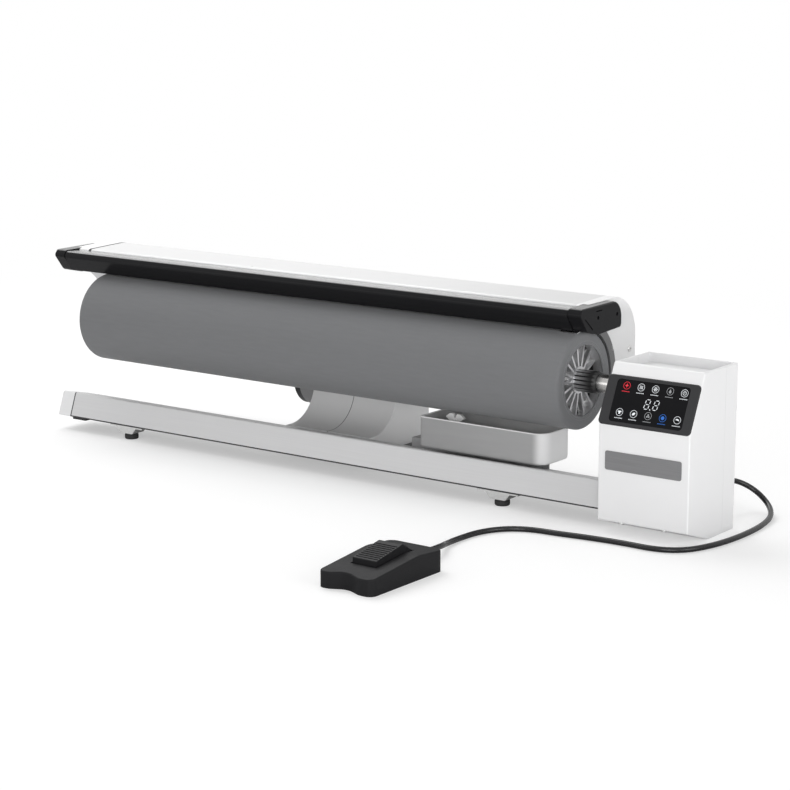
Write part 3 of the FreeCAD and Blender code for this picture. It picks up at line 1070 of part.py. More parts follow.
write("pivot_shaft", rod_x(BARREL_LEFT - ARM_GAP - ARM_THICKNESS, BARREL_RIGHT + ARM_GAP + ARM_THICKNESS,
                           PIVOT_Y, PIVOT_Z, PIVOT_RADIUS))

# Head covers: white top that rolls over to the back, back panel and two hollow end covers
round_reach = HEAD_BACK - HEAD_BACK_ROUND - COVER_FRONT_Y
round_drop = HEAD_BACK_ROUND - COVER_FALL
top_slope = math.atan2(round_reach, round_drop)
top_slope = top_slope - math.acos(HEAD_BACK_ROUND / math.hypot(round_reach, round_drop))
back_corner = COVER_FRONT_Z + (HEAD_BACK - COVER_FRONT_Y) * math.tan(top_slope)
head_profile = (
    (COVER_FRONT_Y, HEAD_BOTTOM, 0), (COVER_FRONT_Y, COVER_FRONT_Z, COVER_ROUND),
    (HEAD_BACK, back_corner, HEAD_BACK_ROUND), (HEAD_BACK, HEAD_BOTTOM, 0),
)
top_left = COVER_LEFT + TOP_SEAM
head_shell = yz_prism(head_profile, top_left, COVER_RIGHT)
head_shell = head_shell.cut(inset_prism(head_profile, SHEET, COVER_LEFT - 1, COVER_RIGHT + 1))
top_room = block(COVER_LEFT, COVER_RIGHT, COVER_FRONT_Y + SHEET, HEAD_BACK + 1, BACK_PANEL_TOP, HEAD_TOP + 1)
top_lip = block(COVER_LEFT, COVER_RIGHT, COVER_FRONT_Y - 1, COVER_FRONT_Y + COVER_ROUND,
                COVER_FRONT_Z - 2 * COVER_ROUND, HEAD_TOP)
write("head_top_cover", head_shell.common(top_room.fuse(top_lip)).removeSplitter())
write("head_back_panel", block(COVER_LEFT, COVER_RIGHT, HEAD_BACK - SHEET, HEAD_BACK, HEAD_BOTTOM,
                               BACK_PANEL_TOP))
shoe_room = rod_x(0, HEAD_RIGHT, DRUM_Y, DRUM_Z, SHOE_OUTER + RUN_GAP)
shoe_wall = rod_x(0, HEAD_RIGHT, DRUM_Y, DRUM_Z, SHOE_OUTER + RUN_GAP + SHEET)


def from_corner(outline):
    """Outline moved to the top front corner of the head."""
    return [(COVER_FRONT_Y + back, HEAD_TOP + up, rounding) for back, up, rounding in outline]


def rolled_edge(edge):
    """True for the outer edges of an end cover on its top and back."""
    box = edge.BoundBox
    return box.YMax > COVER_FRONT_Y + COVER_ROUND + 0.1 and box.ZMax > HEAD_BOTTOM + 0.1


cap_profile = from_corner(CAP_OUTLINE)
cap_rooms = inset_prism(cap_profile, -RUN_GAP, -1, CAP_DEPTH + RUN_GAP)
cap_rooms = cap_rooms.fuse(inset_prism(cap_profile, -RUN_GAP, HEAD_RIGHT - CAP_DEPTH - RUN_GAP, HEAD_RIGHT + 1))
for name, outer, x0, x1, open0, open1 in (
    ("head_end_cover_left", END_LEFT, END_LEFT, COVER_LEFT, END_LEFT + SHEET, COVER_LEFT + 1),
    ("head_end_cover_right", END_RIGHT, COVER_RIGHT, END_RIGHT, COVER_RIGHT - 1, END_RIGHT - SHEET),
):
    cover = yz_prism(head_profile, x0, x1)
    cover = cover.makeFillet(END_ROUND, side_edges(cover, outer, rolled_edge)).cut(shoe_room)
    cover = cover.cut(inset_prism(head_profile, SHEET, open0, open1).cut(shoe_wall)).cut(cap_rooms)
    write(name, max(cover.Solids, key=lambda s: s.Volume))

# Front bar: black hollow bar along the front edge of the head
bar_profile = from_corner(BAR_OUTLINE)
bar_left = CAP_DEPTH
bar_right = HEAD_RIGHT - CAP_DEPTH
bar = yz_prism(bar_profile, bar_left, bar_right)
write("front_bar", bar.cut(inset_prism(bar_profile, SHEET, bar_left - 1, bar_right + 1)))

# Bar caps: black end blocks let into the end covers, with a groove, a slot, a line and two screw holes
line_profile = from_corner([(back, up, 0) for back, up in CAP_LINE])
shoe_end = rod_x(END_LEFT - RUN_GAP, END_RIGHT + RUN_GAP, DRUM_Y, DRUM_Z, SHOE_OUTER + RUN_GAP)
shoe_end = shoe_end.common(block(0, HEAD_RIGHT, COVER_FRONT_Y + BAR_OUTLINE[4][0], HEAD_BACK, DRUM_Z, HEAD_TOP))
for name, face, inward in (("bar_cap_left", 0, 1), ("bar_cap_right", HEAD_RIGHT, -1)):
    x0, x1 = sorted((face, face + inward * CAP_DEPTH))
    end_cap = yz_prism(cap_profile, x0, x1)
    end_cap = end_cap.makeFillet(CAP_ROUND, side_edges(end_cap, face))
    seam = sorted((face + inward * CAP_DEPTH, face + inward * (CAP_DEPTH - CAP_SEAM)))
    groove = yz_prism(cap_profile, seam[0], seam[1]).cut(inset_prism(cap_profile, CAP_SEAM, seam[0], seam[1]))
    groove = groove.cut(block(seam[0], seam[1], COVER_FRONT_Y, HEAD_BACK, HEAD_BOTTOM, HEAD_TOP))
    end_cap = end_cap.cut(groove).cut(shoe_end)
    low_x, high_x = sorted((face, face + inward * CAP_HOLE_DEPTH))
    for back, up in CAP_HOLES:
        end_cap = end_cap.cut(rod_x(low_x, high_x, COVER_FRONT_Y + back, HEAD_TOP + up, CAP_HOLE_RADIUS))
    end_cap = end_cap.cut(block(low_x, high_x, COVER_FRONT_Y + CAP_SLOT[0], COVER_FRONT_Y + CAP_SLOT[1],
                                HEAD_TOP + CAP_SLOT[2], HEAD_TOP + CAP_SLOT[3]))
    line_x = sorted((face, face + inward * CAP_ROUND))
    end_cap = end_cap.cut(yz_prism(line_profile, line_x[0], line_x[1]))
    write(name, max(end_cap.Solids, key=lambda s: s.Volume))

# Head screws: one in each end cover, four along the back panel
head_screws = [
    rod_x(END_LEFT - HEAD_SCREW_HEIGHT, END_LEFT, END_SCREW_Y, END_SCREW_Z, HEAD_SCREW_RADIUS),
    rod_x(END_RIGHT, END_RIGHT + HEAD_SCREW_HEIGHT, END_SCREW_Y, END_SCREW_Z, HEAD_SCREW_RADIUS),
]
for share in (0.1, 0.36, 0.64, 0.9):
    head_screws.append(disc_y(share * HEAD_RIGHT, HEAD_BACK, HEAD_BACK + HEAD_SCREW_HEIGHT,
                              HEAD_BOTTOM + BACK_SCREW_UP, HEAD_SCREW_RADIUS))
write("head_screws", Part.makeCompound(head_screws))
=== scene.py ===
import bpy
import bmesh
import math
from mathutils import Matrix, Vector


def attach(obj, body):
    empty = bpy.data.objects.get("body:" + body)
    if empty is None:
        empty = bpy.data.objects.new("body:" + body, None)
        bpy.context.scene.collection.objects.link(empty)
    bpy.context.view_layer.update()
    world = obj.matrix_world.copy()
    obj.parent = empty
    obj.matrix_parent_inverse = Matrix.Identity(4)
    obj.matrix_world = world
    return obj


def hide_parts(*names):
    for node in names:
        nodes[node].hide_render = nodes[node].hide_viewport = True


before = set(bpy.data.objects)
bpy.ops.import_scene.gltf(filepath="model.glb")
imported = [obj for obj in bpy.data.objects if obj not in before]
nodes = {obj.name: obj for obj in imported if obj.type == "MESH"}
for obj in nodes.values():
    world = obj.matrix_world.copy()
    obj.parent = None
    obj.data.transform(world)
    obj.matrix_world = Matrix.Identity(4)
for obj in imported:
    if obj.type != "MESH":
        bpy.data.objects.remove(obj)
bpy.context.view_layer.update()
scene = bpy.context.scene
scene.view_settings.view_transform = "Standard"

# Camera: stands beyond the drive box, in front of the press and a little above it.
# The long lens keeps the beam and the drum nearly parallel.
camera_data = bpy.data.cameras.new("camera")
camera_data.lens = 101.66
camera_data.clip_end = 60
camera = bpy.data.objects.new("camera", camera_data)
look_down, look_left = 11.626, 36.706
camera.location = (1.9558, -2.3694, 0.7719)
camera.rotation_euler = (math.radians(90 - look_down), 0, math.radians(look_left))
scene.collection.objects.link(camera)
scene.camera = camera


# Pedal cable: round lead in black rubber, soft enough to lie in loose curves on the floor.
# It leaves the back of the drive box, comes round its right side and runs to the pedal.
class Shade:
    """A value that varies over a surface; arithmetic on it adds Math nodes."""

    def __init__(self, recipe, socket):
        self.recipe = recipe
        self.socket = socket

    def maths(self, operation, first, second=0.0):
        return self.recipe.add("Math", {"operation": operation}, {0: first, 1: second})

    def __add__(self, other):
        return self.maths("ADD", self, other)

    def __radd__(self, other):
        return self.maths("ADD", other, self)

    def __sub__(self, other):
        return self.maths("SUBTRACT", self, other)

    def __rsub__(self, other):
        return self.maths("SUBTRACT", other, self)

    def __mul__(self, other):
        return self.maths("MULTIPLY", self, other)

    def __rmul__(self, other):
        return self.maths("MULTIPLY", other, self)

    def sine(self):
        return self.maths("SINE", self)

    def size(self):
        return self.maths("ABSOLUTE", self)

    def over(self, edge):
        return self.maths("GREATER_THAN", self, edge)

    def under(self, edge):
        return self.maths("LESS_THAN", self, edge)

    def higher(self, other):
        return self.maths("MAXIMUM", self, other)

    def rise(self, low, high):
        """0 below low, 1 above high, smooth between."""
        return self.recipe.add("MapRange", {"interpolation_type": "SMOOTHSTEP"},
                               {"Value": self, "From Min": low, "From Max": high})


class Recipe:
    """The nodes of one shader, and what feeds its sockets."""

    def __init__(self, tree, shader):
        self.tree = tree
        self.shader = tree.nodes[shader]

    def feed(self, node, socket, value):
        """Set one socket of a node, or link it to a value that varies."""
        if isinstance(value, Shade):
            self.tree.links.new(value.socket, node.inputs[socket])
        else:
            node.inputs[socket].default_value = value

    def give(self, socket, value):
        """Set or link one socket of the shader."""
        self.feed(self.shader, socket, value)

    def add(self, kind, settings, inputs, output=0):
        """Add one node: its settings first, then the values or links of its sockets."""
        node = self.tree.nodes.new("ShaderNode" + kind)
        for name, value in settings.items():
            setattr(node, name, value)
        for socket, value in inputs.items():
            self.feed(node, socket, value)
        return Shade(self, node.outputs[output])


class Finish(Recipe):
    """One material: a Principled shader and the nodes that feed it."""

    def __init__(self, name, colour, roughness, metallic=0.0, fixed=None):
        self.material = bpy.data.materials.new(name)
        self.material.use_nodes = True
        super().__init__(self.material.node_tree, "Principled BSDF")
        self.give("Base Color", (*colour, 1.0))
        self.give("Roughness", roughness)
        self.give("Metallic", metallic)
        for socket, value in (fixed or {}).items():
            self.give(socket, value)

    def place(self, stretch=(1, 1, 1)):
        """The point on the piece, stretched along its axes."""
        point = self.add("TexCoord", {}, {}, "Object")
        return self.add("Mapping", {}, {"Vector": point, "Scale": stretch})

    def along(self, axis):
        """How far along X, Y or Z the point is, in metres."""
        return self.add("SeparateXYZ", {}, {0: self.add("TexCoord", {}, {}, "Object")}, axis)

    def noise(self, scale, detail=2.0, stretch=(1, 1, 1)):
        """Cloudy pattern from 0 to 1; scale is in cycles per metre."""
        point = self.place(stretch)
        return self.add("TexNoise", {}, {"Vector": point, "Scale": scale, "Detail": detail})

    def mix(self, first, second, amount):
        """Colour between two colours."""
        first, second = (c if isinstance(c, Shade) else (*c, 1.0) for c in (first, second))
        return self.add("Mix", {"data_type": "RGBA"}, {0: amount, 6: first, 7: second}, 2)

    def tint(self, first, second, amount):
        """Base colour between two colours."""
        self.give("Base Color", self.mix(first, second, amount))

    def cloud(self, colour, low, high, amount):
        """Base colour between two shares of one colour."""
        self.tint([low * part for part in colour], [high * part for part in colour], amount)

    def relief(self, height, depth):
        """Small relief; depth in metres."""
        self.give("Normal", self.add("Bump", {}, {"Distance": depth, "Height": height}))


def dress(finish, *names):
    """Give a finish to CAD pieces."""
    for name in names:
        nodes[name].data.materials.clear()
        nodes[name].data.materials.append(finish.material)


def join_in(piece, finish, body):
    """Put a new piece in the scene, on its body, with its finish."""
    scene.collection.objects.link(piece)
    piece.data.materials.append(finish.material)
    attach(piece, body)


cable_radius = 0.0038
cable_route = (
    (0.550, 0.2326, 0.047), (0.550, 0.2626, 0.047), (0.558, 0.2895, 0.042),
    (0.578, 0.3045, 0.029), (0.603, 0.2985, 0.013), (0.622, 0.2695, 0.006),
    (0.631, 0.2265, 0.0041), (0.634, 0.1805, 0.004), (0.6325, 0.1365, 0.004),
    (0.626, 0.0945, 0.004), (0.610, 0.0545, 0.004), (0.578, 0.0365, 0.004),
    (0.530, 0.0385, 0.004), (0.480, 0.0345, 0.004), (0.436, 0.0275, 0.004),
    (0.396, 0.0245, 0.004), (0.366, 0.0075, 0.004), (0.348, -0.0255, 0.004),
    (0.345, -0.0695, 0.004), (0.351, -0.1115, 0.006), (0.36725, -0.1375, 0.013),
    (0.36725, -0.1675, 0.013),
)
cable_rubber = Finish("cable rubber", (0.006, 0.006, 0.007), 0.27,
                      fixed={"Specular IOR Level": 0.4})
cable_scuff = cable_rubber.noise(70, 4)
cable_rubber.tint((0.004, 0.004, 0.005), (0.009, 0.009, 0.010), cable_scuff)
cable_rubber.give("Roughness", 0.20 + 0.14 * cable_scuff)
cable_rubber.relief(cable_rubber.noise(1400, 2), 0.00004)
cable_curve = bpy.data.curves.new("pedal_lead", "CURVE")
cable_curve.dimensions = "3D"
cable_curve.bevel_depth = cable_radius
cable_curve.bevel_resolution = 5
cable_curve.resolution_u = 12
cable_curve.use_fill_caps = True
cable_line = cable_curve.splines.new("NURBS")
cable_line.points.add(len(cable_route) - 1)
for point, spot in zip(cable_line.points, cable_route):
    point.co = (*spot, 1.0)
cable_line.order_u = 3
cable_line.use_endpoint_u = True
pedal_lead = bpy.data.objects.new("pedal_lead", cable_curve)
join_in(pedal_lead, cable_rubber, "base")
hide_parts("pedal_cable")


# Strain reliefs: moulded rubber sleeves, ringed with grooves so that they bend with the cable.
# One is locked in the rear wall of the drive box by its flange, the other in the rear of the pedal.
def turned(shape, outline, centre, axis, steps, closed=True):
    """Turn an outline of (along, radius) points about an axis, as on a lathe."""
    axis, centre = Vector(axis), Vector(centre)
    out = Vector((axis.y, axis.z, axis.x))
    ring = [shape.verts.new(centre + along * axis + radius * out) for along, radius in outline]
    pairs = list(zip(ring, ring[1:])) + ([(ring[-1], ring[0])] if closed else [])
    edges = [shape.edges.new(pair) for pair in pairs]
    bmesh.ops.spin(shape, geom=ring + edges, cent=centre, axis=axis, angle=2 * math.pi,
                   steps=steps, use_merge=True)


def piece_of(shape, name, finish, body, slot, *stands_for):
    """Close a modelled shape, shade it smooth but for its sharp edges, and put it on its body."""
    bmesh.ops.remove_doubles(shape, verts=shape.verts[:], dist=0.000002)
    bmesh.ops.recalc_face_normals(shape, faces=shape.faces[:])
    for face in shape.faces:
        face.smooth = True
    for edge in shape.edges:
        edge.smooth = edge.calc_face_angle(0) < math.radians(35)
    mesh = bpy.data.meshes.new(name)
    shape.to_mesh(mesh)
    shape.free()
    piece = bpy.data.objects.new(name, mesh)
    join_in(piece, finish, body)
    if stands_for:
        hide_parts(*stands_for)
    return piece


def ringed_sleeve(name, wall, lead_in, first_ring, reach, flange, node):
    """Sleeve on the cable, along +Y from the wall it is locked in; flange outlines its rim."""
    narrow, groove, clearance, rings = 0.0048, 0.0006, 0.0001, 7
    ring_end, groove_start, groove_end = 0.60, 0.68, 0.94
    hole = cable_radius + clearance
    pitch = (reach - first_ring) / rings
    outline = [(-lead_in, hole), (-lead_in, sleeve_wide), *flange]
    for ring in range(rings):
        start = first_ring + ring * pitch
        radius = sleeve_wide + (narrow - sleeve_wide) * ring / (rings - 1)
        outline += [(start, radius), (start + ring_end * pitch, radius),
                    (start + groove_start * pitch, radius - groove),
                    (start + groove_end * pitch, radius - groove)]
    outline.append((reach, hole))
    shape = bmesh.new()
    turned(shape, outline, wall, (0, 1, 0), 36)
    piece_of(shape, name, sleeve_rubber, "base", "rubber_black", node)


sleeve_wide, sleeve_lead_in = 0.0064, 0.005
sleeve_rubber = Finish("sleeve rubber", (0.008, 0.008, 0.009), 0.6,
                       fixed={"Specular IOR Level": 0.25})
sleeve_rubber.tint((0.006, 0.006, 0.007), (0.011, 0.011, 0.012), sleeve_rubber.noise(120, 3))
sleeve_rubber.relief(sleeve_rubber.noise(1800, 2), 0.00005)
box_flange = [(0.0, sleeve_wide), (0.0, 0.0081), (0.0004, 0.0085), (0.0024, 0.0085),
              (0.003, 0.0079)]
ringed_sleeve("box_cable_sleeve", (0.550, 0.2026, 0.047), sleeve_lead_in, 0.003, 0.030,
              box_flange, "cable_gland")
ringed_sleeve("pedal_cable_sleeve", (0.36725, -0.1915, 0.013), sleeve_lead_in, 0.0, 0.024,
              [], "pedal_relief")

# Floor and light: a pale studio floor that keeps the soft shadow and runs out into white,
# an even white surround, and four wide soft lamps.
floor_mesh = bpy.data.meshes.new("floor")
floor_shape = bmesh.new()
bmesh.ops.create_grid(floor_shape, x_segments=1, y_segments=1, size=14)
floor_shape.to_mesh(floor_mesh)
floor_shape.free()
floor = bpy.data.objects.new("floor", floor_mesh)
scene.collection.objects.link(floor)
floor_paint = Finish("floor paint", (0.8, 0.8, 0.8), 0.8,
                     fixed={"Specular IOR Level": 0.0, "Emission Strength": 1.0})
floor_mesh.materials.append(floor_paint.material)
fade_from, fade_to, far_glow, near_glow = 0.9, 2.2, 0.85, 0.40
floor_place = floor_paint.place()
floor_reach = floor_paint.add("VectorMath", {"operation": "LENGTH"}, {0: floor_place}, "Value")
floor_far = floor_reach.rise(fade_from, fade_to)
floor_seen = floor_paint.add("LightPath", {}, {}, "Is Camera Ray")
floor_near = floor_paint.mix((0.8, 0.8, 0.8), (0.64, 0.64, 0.64), floor_seen)
floor_paint.tint(floor_near, (0, 0, 0), floor_far)
past_white = far_glow + near_glow - 1.0
floor_glow = far_glow * floor_far + floor_seen * (near_glow - past_white * floor_far)
floor_paint.give("Emission Color", floor_paint.mix((0, 0, 0), (1, 1, 1), floor_glow))

world = bpy.data.worlds.new("studio")
world.use_nodes = True
scene.world = world
sky = Recipe(world.node_tree, "Background")
sky.give("Color", (1.0, 1.0, 1.0, 1.0))
sky_seen = sky.add("LightPath", {}, {}, "Is Camera Ray")
for ray in ("Is Glossy Ray", "Is Transmission Ray"):
    sky_seen = sky_seen.higher(sky.add("LightPath", {}, {}, ray))
sky_light, sky_white = 0.44, 1.0
sky.give("Strength", sky_light + (sky_white - sky_light) * sky_seen)

lamp_aim = Vector((0, 0.1, 0.1))
for lamp_name, spot, watts, width in (
    ("key_lamp", (1.8, -2.5, 0.25), 52, 1.6),
    ("side_lamp", (3.0, -0.4, 0.7), 24, 1.6),
    ("fill_lamp", (-1.7, -2.6, 0.25), 16, 2.0),
    ("top_lamp", (-1.5, 0.9, 2.5), 60, 2.4),
):
    lamp_data = bpy.data.lights.new(lamp_name, "AREA")
    lamp_data.energy = watts
    lamp_data.size = width
    lamp = bpy.data.objects.new(lamp_name, lamp_data)
    lamp.location = spot
    lamp.rotation_euler = (lamp_aim - Vector(spot)).to_track_quat("-Z", "Y").to_euler()
    scene.collection.objects.link(lamp)

# Base beam: extruded aluminium with a light grey powder coat, faint draw lines along its length.
# Painted shade draws a thin black line along its lower edge; the joint with its end cap is black.
beam_coat = Finish("beam coat", (0.60, 0.60, 0.61), 0.42)
draw_lines = beam_coat.noise(700, 2, (0.01, 1, 1))
coat_colour = beam_coat.mix((0.57, 0.57, 0.575), (0.63, 0.63, 0.635), draw_lines)
edge_shade_top, cap_joint = 0.0237, -0.5358
# Painted shade: dark line along the lower edge; the dark joint at the end cap is real.
edge_shade_and_joint = beam_coat.along("Z").under(edge_shade_top).higher(beam_coat.along("X").under(cap_joint))
beam_coat.tint(coat_colour, (0.03, 0.03, 0.032), edge_shade_and_joint)
beam_coat.give("Roughness", 0.36 + 0.12 * draw_lines + 0.2 * edge_shade_and_joint)
beam_coat.relief(beam_coat.noise(2600, 2), 0.00003)
dress(beam_coat, "base_beam")


# Beam end cap: white moulded plug pushed into the left end of the beam.
# Satin plastic with the fine grain of a spark-eroded tool.
def moulded(name, colour, roughness, grain, fixed=None):
    """Moulded plastic: clouded gloss, and the fine grain of its tool."""
    finish = Finish(name, colour, roughness, fixed=fixed)
    finish.give("Roughness", roughness - 0.05 + 0.1 * finish.noise(55, 3))
    finish.relief(finish.noise(2300, 2), grain)
    return finish


def moulding(name, colour, roughness, grain, fixed=None):
    """Moulded plastic of one colour, which clouds slightly."""
    finish = moulded(name, colour, roughness, grain, fixed)
    finish.cloud(colour, 0.965, 1.035, finish.noise(9, 3))
    return finish


cap_plastic = moulding("end cap plastic", (0.76, 0.76, 0.765), 0.42, 0.00003)
dress(cap_plastic, "beam_end_cap")

# Rubber bumper and feet: black rubber; the feet are grooved pucks, two under the brackets of the
# beam and two taller ones under the rear edge of the column's plate. The bumper is a strip under
# the end cap.
foot_rubber = Finish("foot rubber", (0.016, 0.016, 0.017), 0.62)
foot_rubber.tint((0.012, 0.012, 0.012), (0.024, 0.024, 0.025), foot_rubber.noise(90, 4))
foot_rubber.give("Roughness", 0.55 + 0.2 * foot_rubber.noise(160, 3))
foot_rubber.relief(foot_rubber.noise(1500, 3), 0.00007)
dress(foot_rubber, "beam_bumper")
foot_shape = bmesh.new()
foot_radius, foot_groove = 0.0108, 0.0100
for foot_x, foot_y, foot_top in ((-0.4172, 0.1225, 0.010), (0.2835, 0.1225, 0.010),
                                 (-0.130, 0.3135, 0.0173), (-0.012, 0.3135, 0.0173)):
    foot_outline = (
        (0.0008, 0.0), (0.0008, 0.0060), (0.0, 0.0066), (0.0, 0.0096), (0.0009, 0.0105),
        (0.0020, foot_radius), (foot_top - 0.0034, foot_radius), (foot_top - 0.0030, foot_groove),
        (foot_top - 0.0018, foot_groove), (foot_top - 0.0014, foot_radius),
        (foot_top - 0.0004, foot_radius), (foot_top, 0.0104), (foot_top, 0.0),
    )
    turned(foot_shape, foot_outline, (foot_x, foot_y, 0), (0, 0, 1), 40, closed=False)
piece_of(foot_shape, "grooved_feet", foot_rubber, "base", "rubber_black", "rubber_feet")


# Sheet steel brackets and plates: folded from bright zinc-plated sheet and screwed on.
# The plating has a faint spangle and dulls in patches.
def plated(name, colour, roughness, spangle):
    """Plated sheet: small crystals in its gloss and colour, and clouded patches."""
    finish = Finish(name, colour, roughness, 1.0)
    crystals = finish.add("TexVoronoi", {}, {"Vector": finish.place(), "Scale": spangle}, "Color")
    crystals = finish.add("SeparateColor", {}, {0: crystals})
    clouds = finish.noise(35, 4)
    finish.cloud(colour, 0.90, 1.08, 0.5 * crystals + 0.5 * clouds)
    finish.give("Roughness", roughness - 0.08 + 0.1 * crystals + 0.1 * clouds)
    return finish


bracket_zinc = plated("bracket zinc", (0.66, 0.66, 0.655), 0.36, 420)
dress(bracket_zinc, "foot_brackets", "box_base_plate", "drive_bracket")
inner_zinc = plated("inner zinc", (0.54, 0.54, 0.53), 0.44, 260)
dress(inner_zinc, "shoe_brackets", "head_beam")


# Column frame and hinge arms: welded sheet steel with a black stove paint. The tank tray is bent
# sheet, painted grey and screwed to the beam. Both have the slight orange peel of a sprayed coat.
orange_peel = 0.00003


def sprayed(name, colour, roughness):
    """Sprayed paint: orange peel, and a little dust in its colour and gloss."""
    finish = Finish(name, colour, roughness)
    dust = finish.noise(28, 4)
    finish.cloud(colour, 0.92, 1.08, dust)
    finish.give("Roughness", roughness - 0.06 + 0.12 * dust)
    finish.relief(finish.noise(480, 2), orange_peel)
    return finish


frame_paint = sprayed("frame paint", (0.035, 0.035, 0.038), 0.42)
dress(frame_paint, "column_frame", "hinge_arms")
tray_paint = sprayed("tray paint", (0.34, 0.34, 0.345), 0.45)
dress(tray_paint, "tank_tray")

# Column covers: two grey moulded halves that meet in a fine line down the middle of the sweep.
# Satin plastic, clipped over the frame; painted light makes it a little paler on the right flank.
column_plastic = moulded("column plastic", (0.68, 0.68, 0.682), 0.46, 0.00004)
halves_meet, lit_flank_from, lit_flank_to = -0.071, 0.0064, 0.0072
column_x = column_plastic.along("X")
column_clouds = column_plastic.noise(9, 3)
# Painted light: the right flank is paler.
flank_painted_light = column_x.rise(lit_flank_from, lit_flank_to)
sweep_colour = column_plastic.mix((0.66, 0.66, 0.662), (0.71, 0.71, 0.712), column_clouds)
sweep_colour = column_plastic.mix(sweep_colour, (0.72, 0.72, 0.722), flank_painted_light)
column_seam = 1.0 - (column_x - halves_meet).size().rise(0.0004, 0.0008)
column_plastic.tint(sweep_colour, (0.10, 0.10, 0.10), column_seam)
dress(column_plastic, "column_cover_left", "column_cover_right")

# Pivot: a grey painted barrel welded to the frame, with bronze bushes pressed into its ends
# and a ground steel shaft that carries the head's two arms. The drum shaft's bushes and the pin of
# the pedal's rocker are of the same metals.
barrel_paint = sprayed("barrel paint", (0.26, 0.26, 0.265), 0.4)
dress(barrel_paint, "pivot_barrel")
bush_bronze = Finish("bush bronze", (0.52, 0.37, 0.20), 0.38, 1.0)
bush_pores = bush_bronze.noise(1300, 3)
bush_bronze.tint((0.42, 0.29, 0.15), (0.58, 0.42, 0.24), bush_pores)
bush_bronze.give("Roughness", 0.30 + 0.22 * bush_pores)
dress(bush_bronze, "pivot_bushes", "shaft_bushes")


def ground(name, colour, roughness, lines, stretch):
    """Machined metal: fine tool lines in its colour, gloss and relief."""
    finish = Finish(name, colour, roughness, 1.0)
    tool_lines = finish.noise(lines, 3, stretch)
    finish.cloud(colour, 0.88, 1.06, tool_lines)
    finish.give("Roughness", roughness - 0.06 + 0.14 * tool_lines)
    finish.relief(tool_lines, tool_depth)
    return finish


tool_depth = 0.00001
shaft_lines, round_shaft = 1500, (1, 0.02, 0.02)
shaft_steel = ground("shaft steel", (0.70, 0.69, 0.67), 0.16, shaft_lines, round_shaft)
dress(shaft_steel, "pivot_shaft", "rocker_pin")

# Drum shaft: ground steel bar that runs in two bushes in the drive box and carries the drum.
# Painted shade makes it dark where it leaves the hub, fading out towards the box.
drum_steel = Finish("drum shaft steel", (0.50, 0.49, 0.48), 0.2, 1.0)
hub_shade_to, hub_shade_gone_from = 0.402, 0.416
steel_lines = drum_steel.noise(shaft_lines, 3, round_shaft)
steel_colour = drum_steel.mix((0.44, 0.43, 0.42), (0.56, 0.55, 0.54), steel_lines)
# Painted shade: dark next to the hub.
past_hub_shade = drum_steel.along("X").rise(hub_shade_to, hub_shade_gone_from)
drum_steel.tint((0.14, 0.14, 0.14), steel_colour, past_hub_shade)
drum_steel.give("Roughness", 0.14 + 0.14 * steel_lines)
drum_steel.relief(steel_lines, tool_depth)
dress(drum_steel, "drum_shaft")

# Motors: ribless cast casings, bead blasted; the press motor fills the barrel round the shaft,
# and the drive motor is screwed to the bracket in the drive box.
motor_cast = Finish("motor casing", (0.30, 0.30, 0.31), 0.45, 1.0)
blast = motor_cast.noise(900, 3)
motor_cast.tint((0.25, 0.25, 0.26), (0.36, 0.36, 0.37), blast)
motor_cast.give("Roughness", 0.38 + 0.2 * blast)
motor_cast.relief(blast, 0.00005)
dress(motor_cast, "press_motor", "drive_motor")

# Water pump: small black moulded pump that stands on the column's plate.
# Glass-filled plastic with a coarse dull grain; the switch in the pedal has the same.
pump_plastic = moulding("pump plastic", (0.022, 0.022, 0.024), 0.6, 0.00008)
dress(pump_plastic, "water_pump", "pedal_switch")

# Water tank: grey moulded trough that slides forwards off its tray.
# Thicker plastic than the column, a little glossier, with faint flow lines along its length.
# Painted light makes it lighter towards the right, paler inside, and palest on its thin rim and its
# right end.
tank_plastic = moulded("tank plastic", (0.30, 0.30, 0.302), 0.40, 0.00003)
lit_right_from, lit_right_to, lit_end_from, lit_end_to, lit_rim_from, lit_rim_to = 0.13, 0.33, 0.322, 0.342, 0.1025, 0.1042
trough_x, trough_y, trough_half_x, trough_half_y = 0.2375, 0.1715, 0.1035, 0.0360
tank_x, tank_y, tank_z = [tank_plastic.along(axis) for axis in "XYZ"]
flow_lines = tank_plastic.noise(60, 2, (0.15, 1, 2))
# Flow lines, and painted light that grows towards the right end.
flow_lines_and_painted_light = 0.4 * flow_lines + 0.6 * tank_x.rise(lit_right_from, lit_right_to)
tank_colour = tank_plastic.mix((0.25, 0.25, 0.252), (0.34, 0.34, 0.342), flow_lines_and_painted_light)
tank_inside = (tank_x - trough_x).size().under(trough_half_x)
tank_inside = tank_inside * (tank_y - trough_y).size().under(trough_half_y)
# Painted light: paler inside, on the rim and at the right end.
tank_painted_light = tank_x.rise(lit_end_from, lit_end_to).higher(0.7 * tank_z.rise(lit_rim_from, lit_rim_to))
tank_plastic.tint(tank_colour, (0.90, 0.90, 0.902), tank_painted_light.higher(0.3 * tank_inside))
dress(tank_plastic, "water_tank")

# Tank valve: white wing nut on a stem, moulded in hard gloss plastic.
# It closes the outlet in the floor of the tank.
valve_plastic = moulding("valve plastic", (0.88, 0.88, 0.875), 0.26, 0.00001)
dress(valve_plastic, "tank_valve")

# Drive box: white front shell and rear cover that meet in a fine joint on the sides.
# Satin ABS with a fine grain.
box_plastic = moulding("box plastic", (0.80, 0.80, 0.805), 0.44, 0.00003)
dress(box_plastic, "box_front_shell", "box_rear_cover")


# Box screws: zinc-plated pan heads with a cross recess, four in the rear cover and two under the
# chin. The heads are forged, so the crown is slightly domed and the recess narrows downwards.
def points_in(geom):
    """The vertices among the parts that an operator made."""
    return [part for part in geom if isinstance(part, bmesh.types.BMVert)]


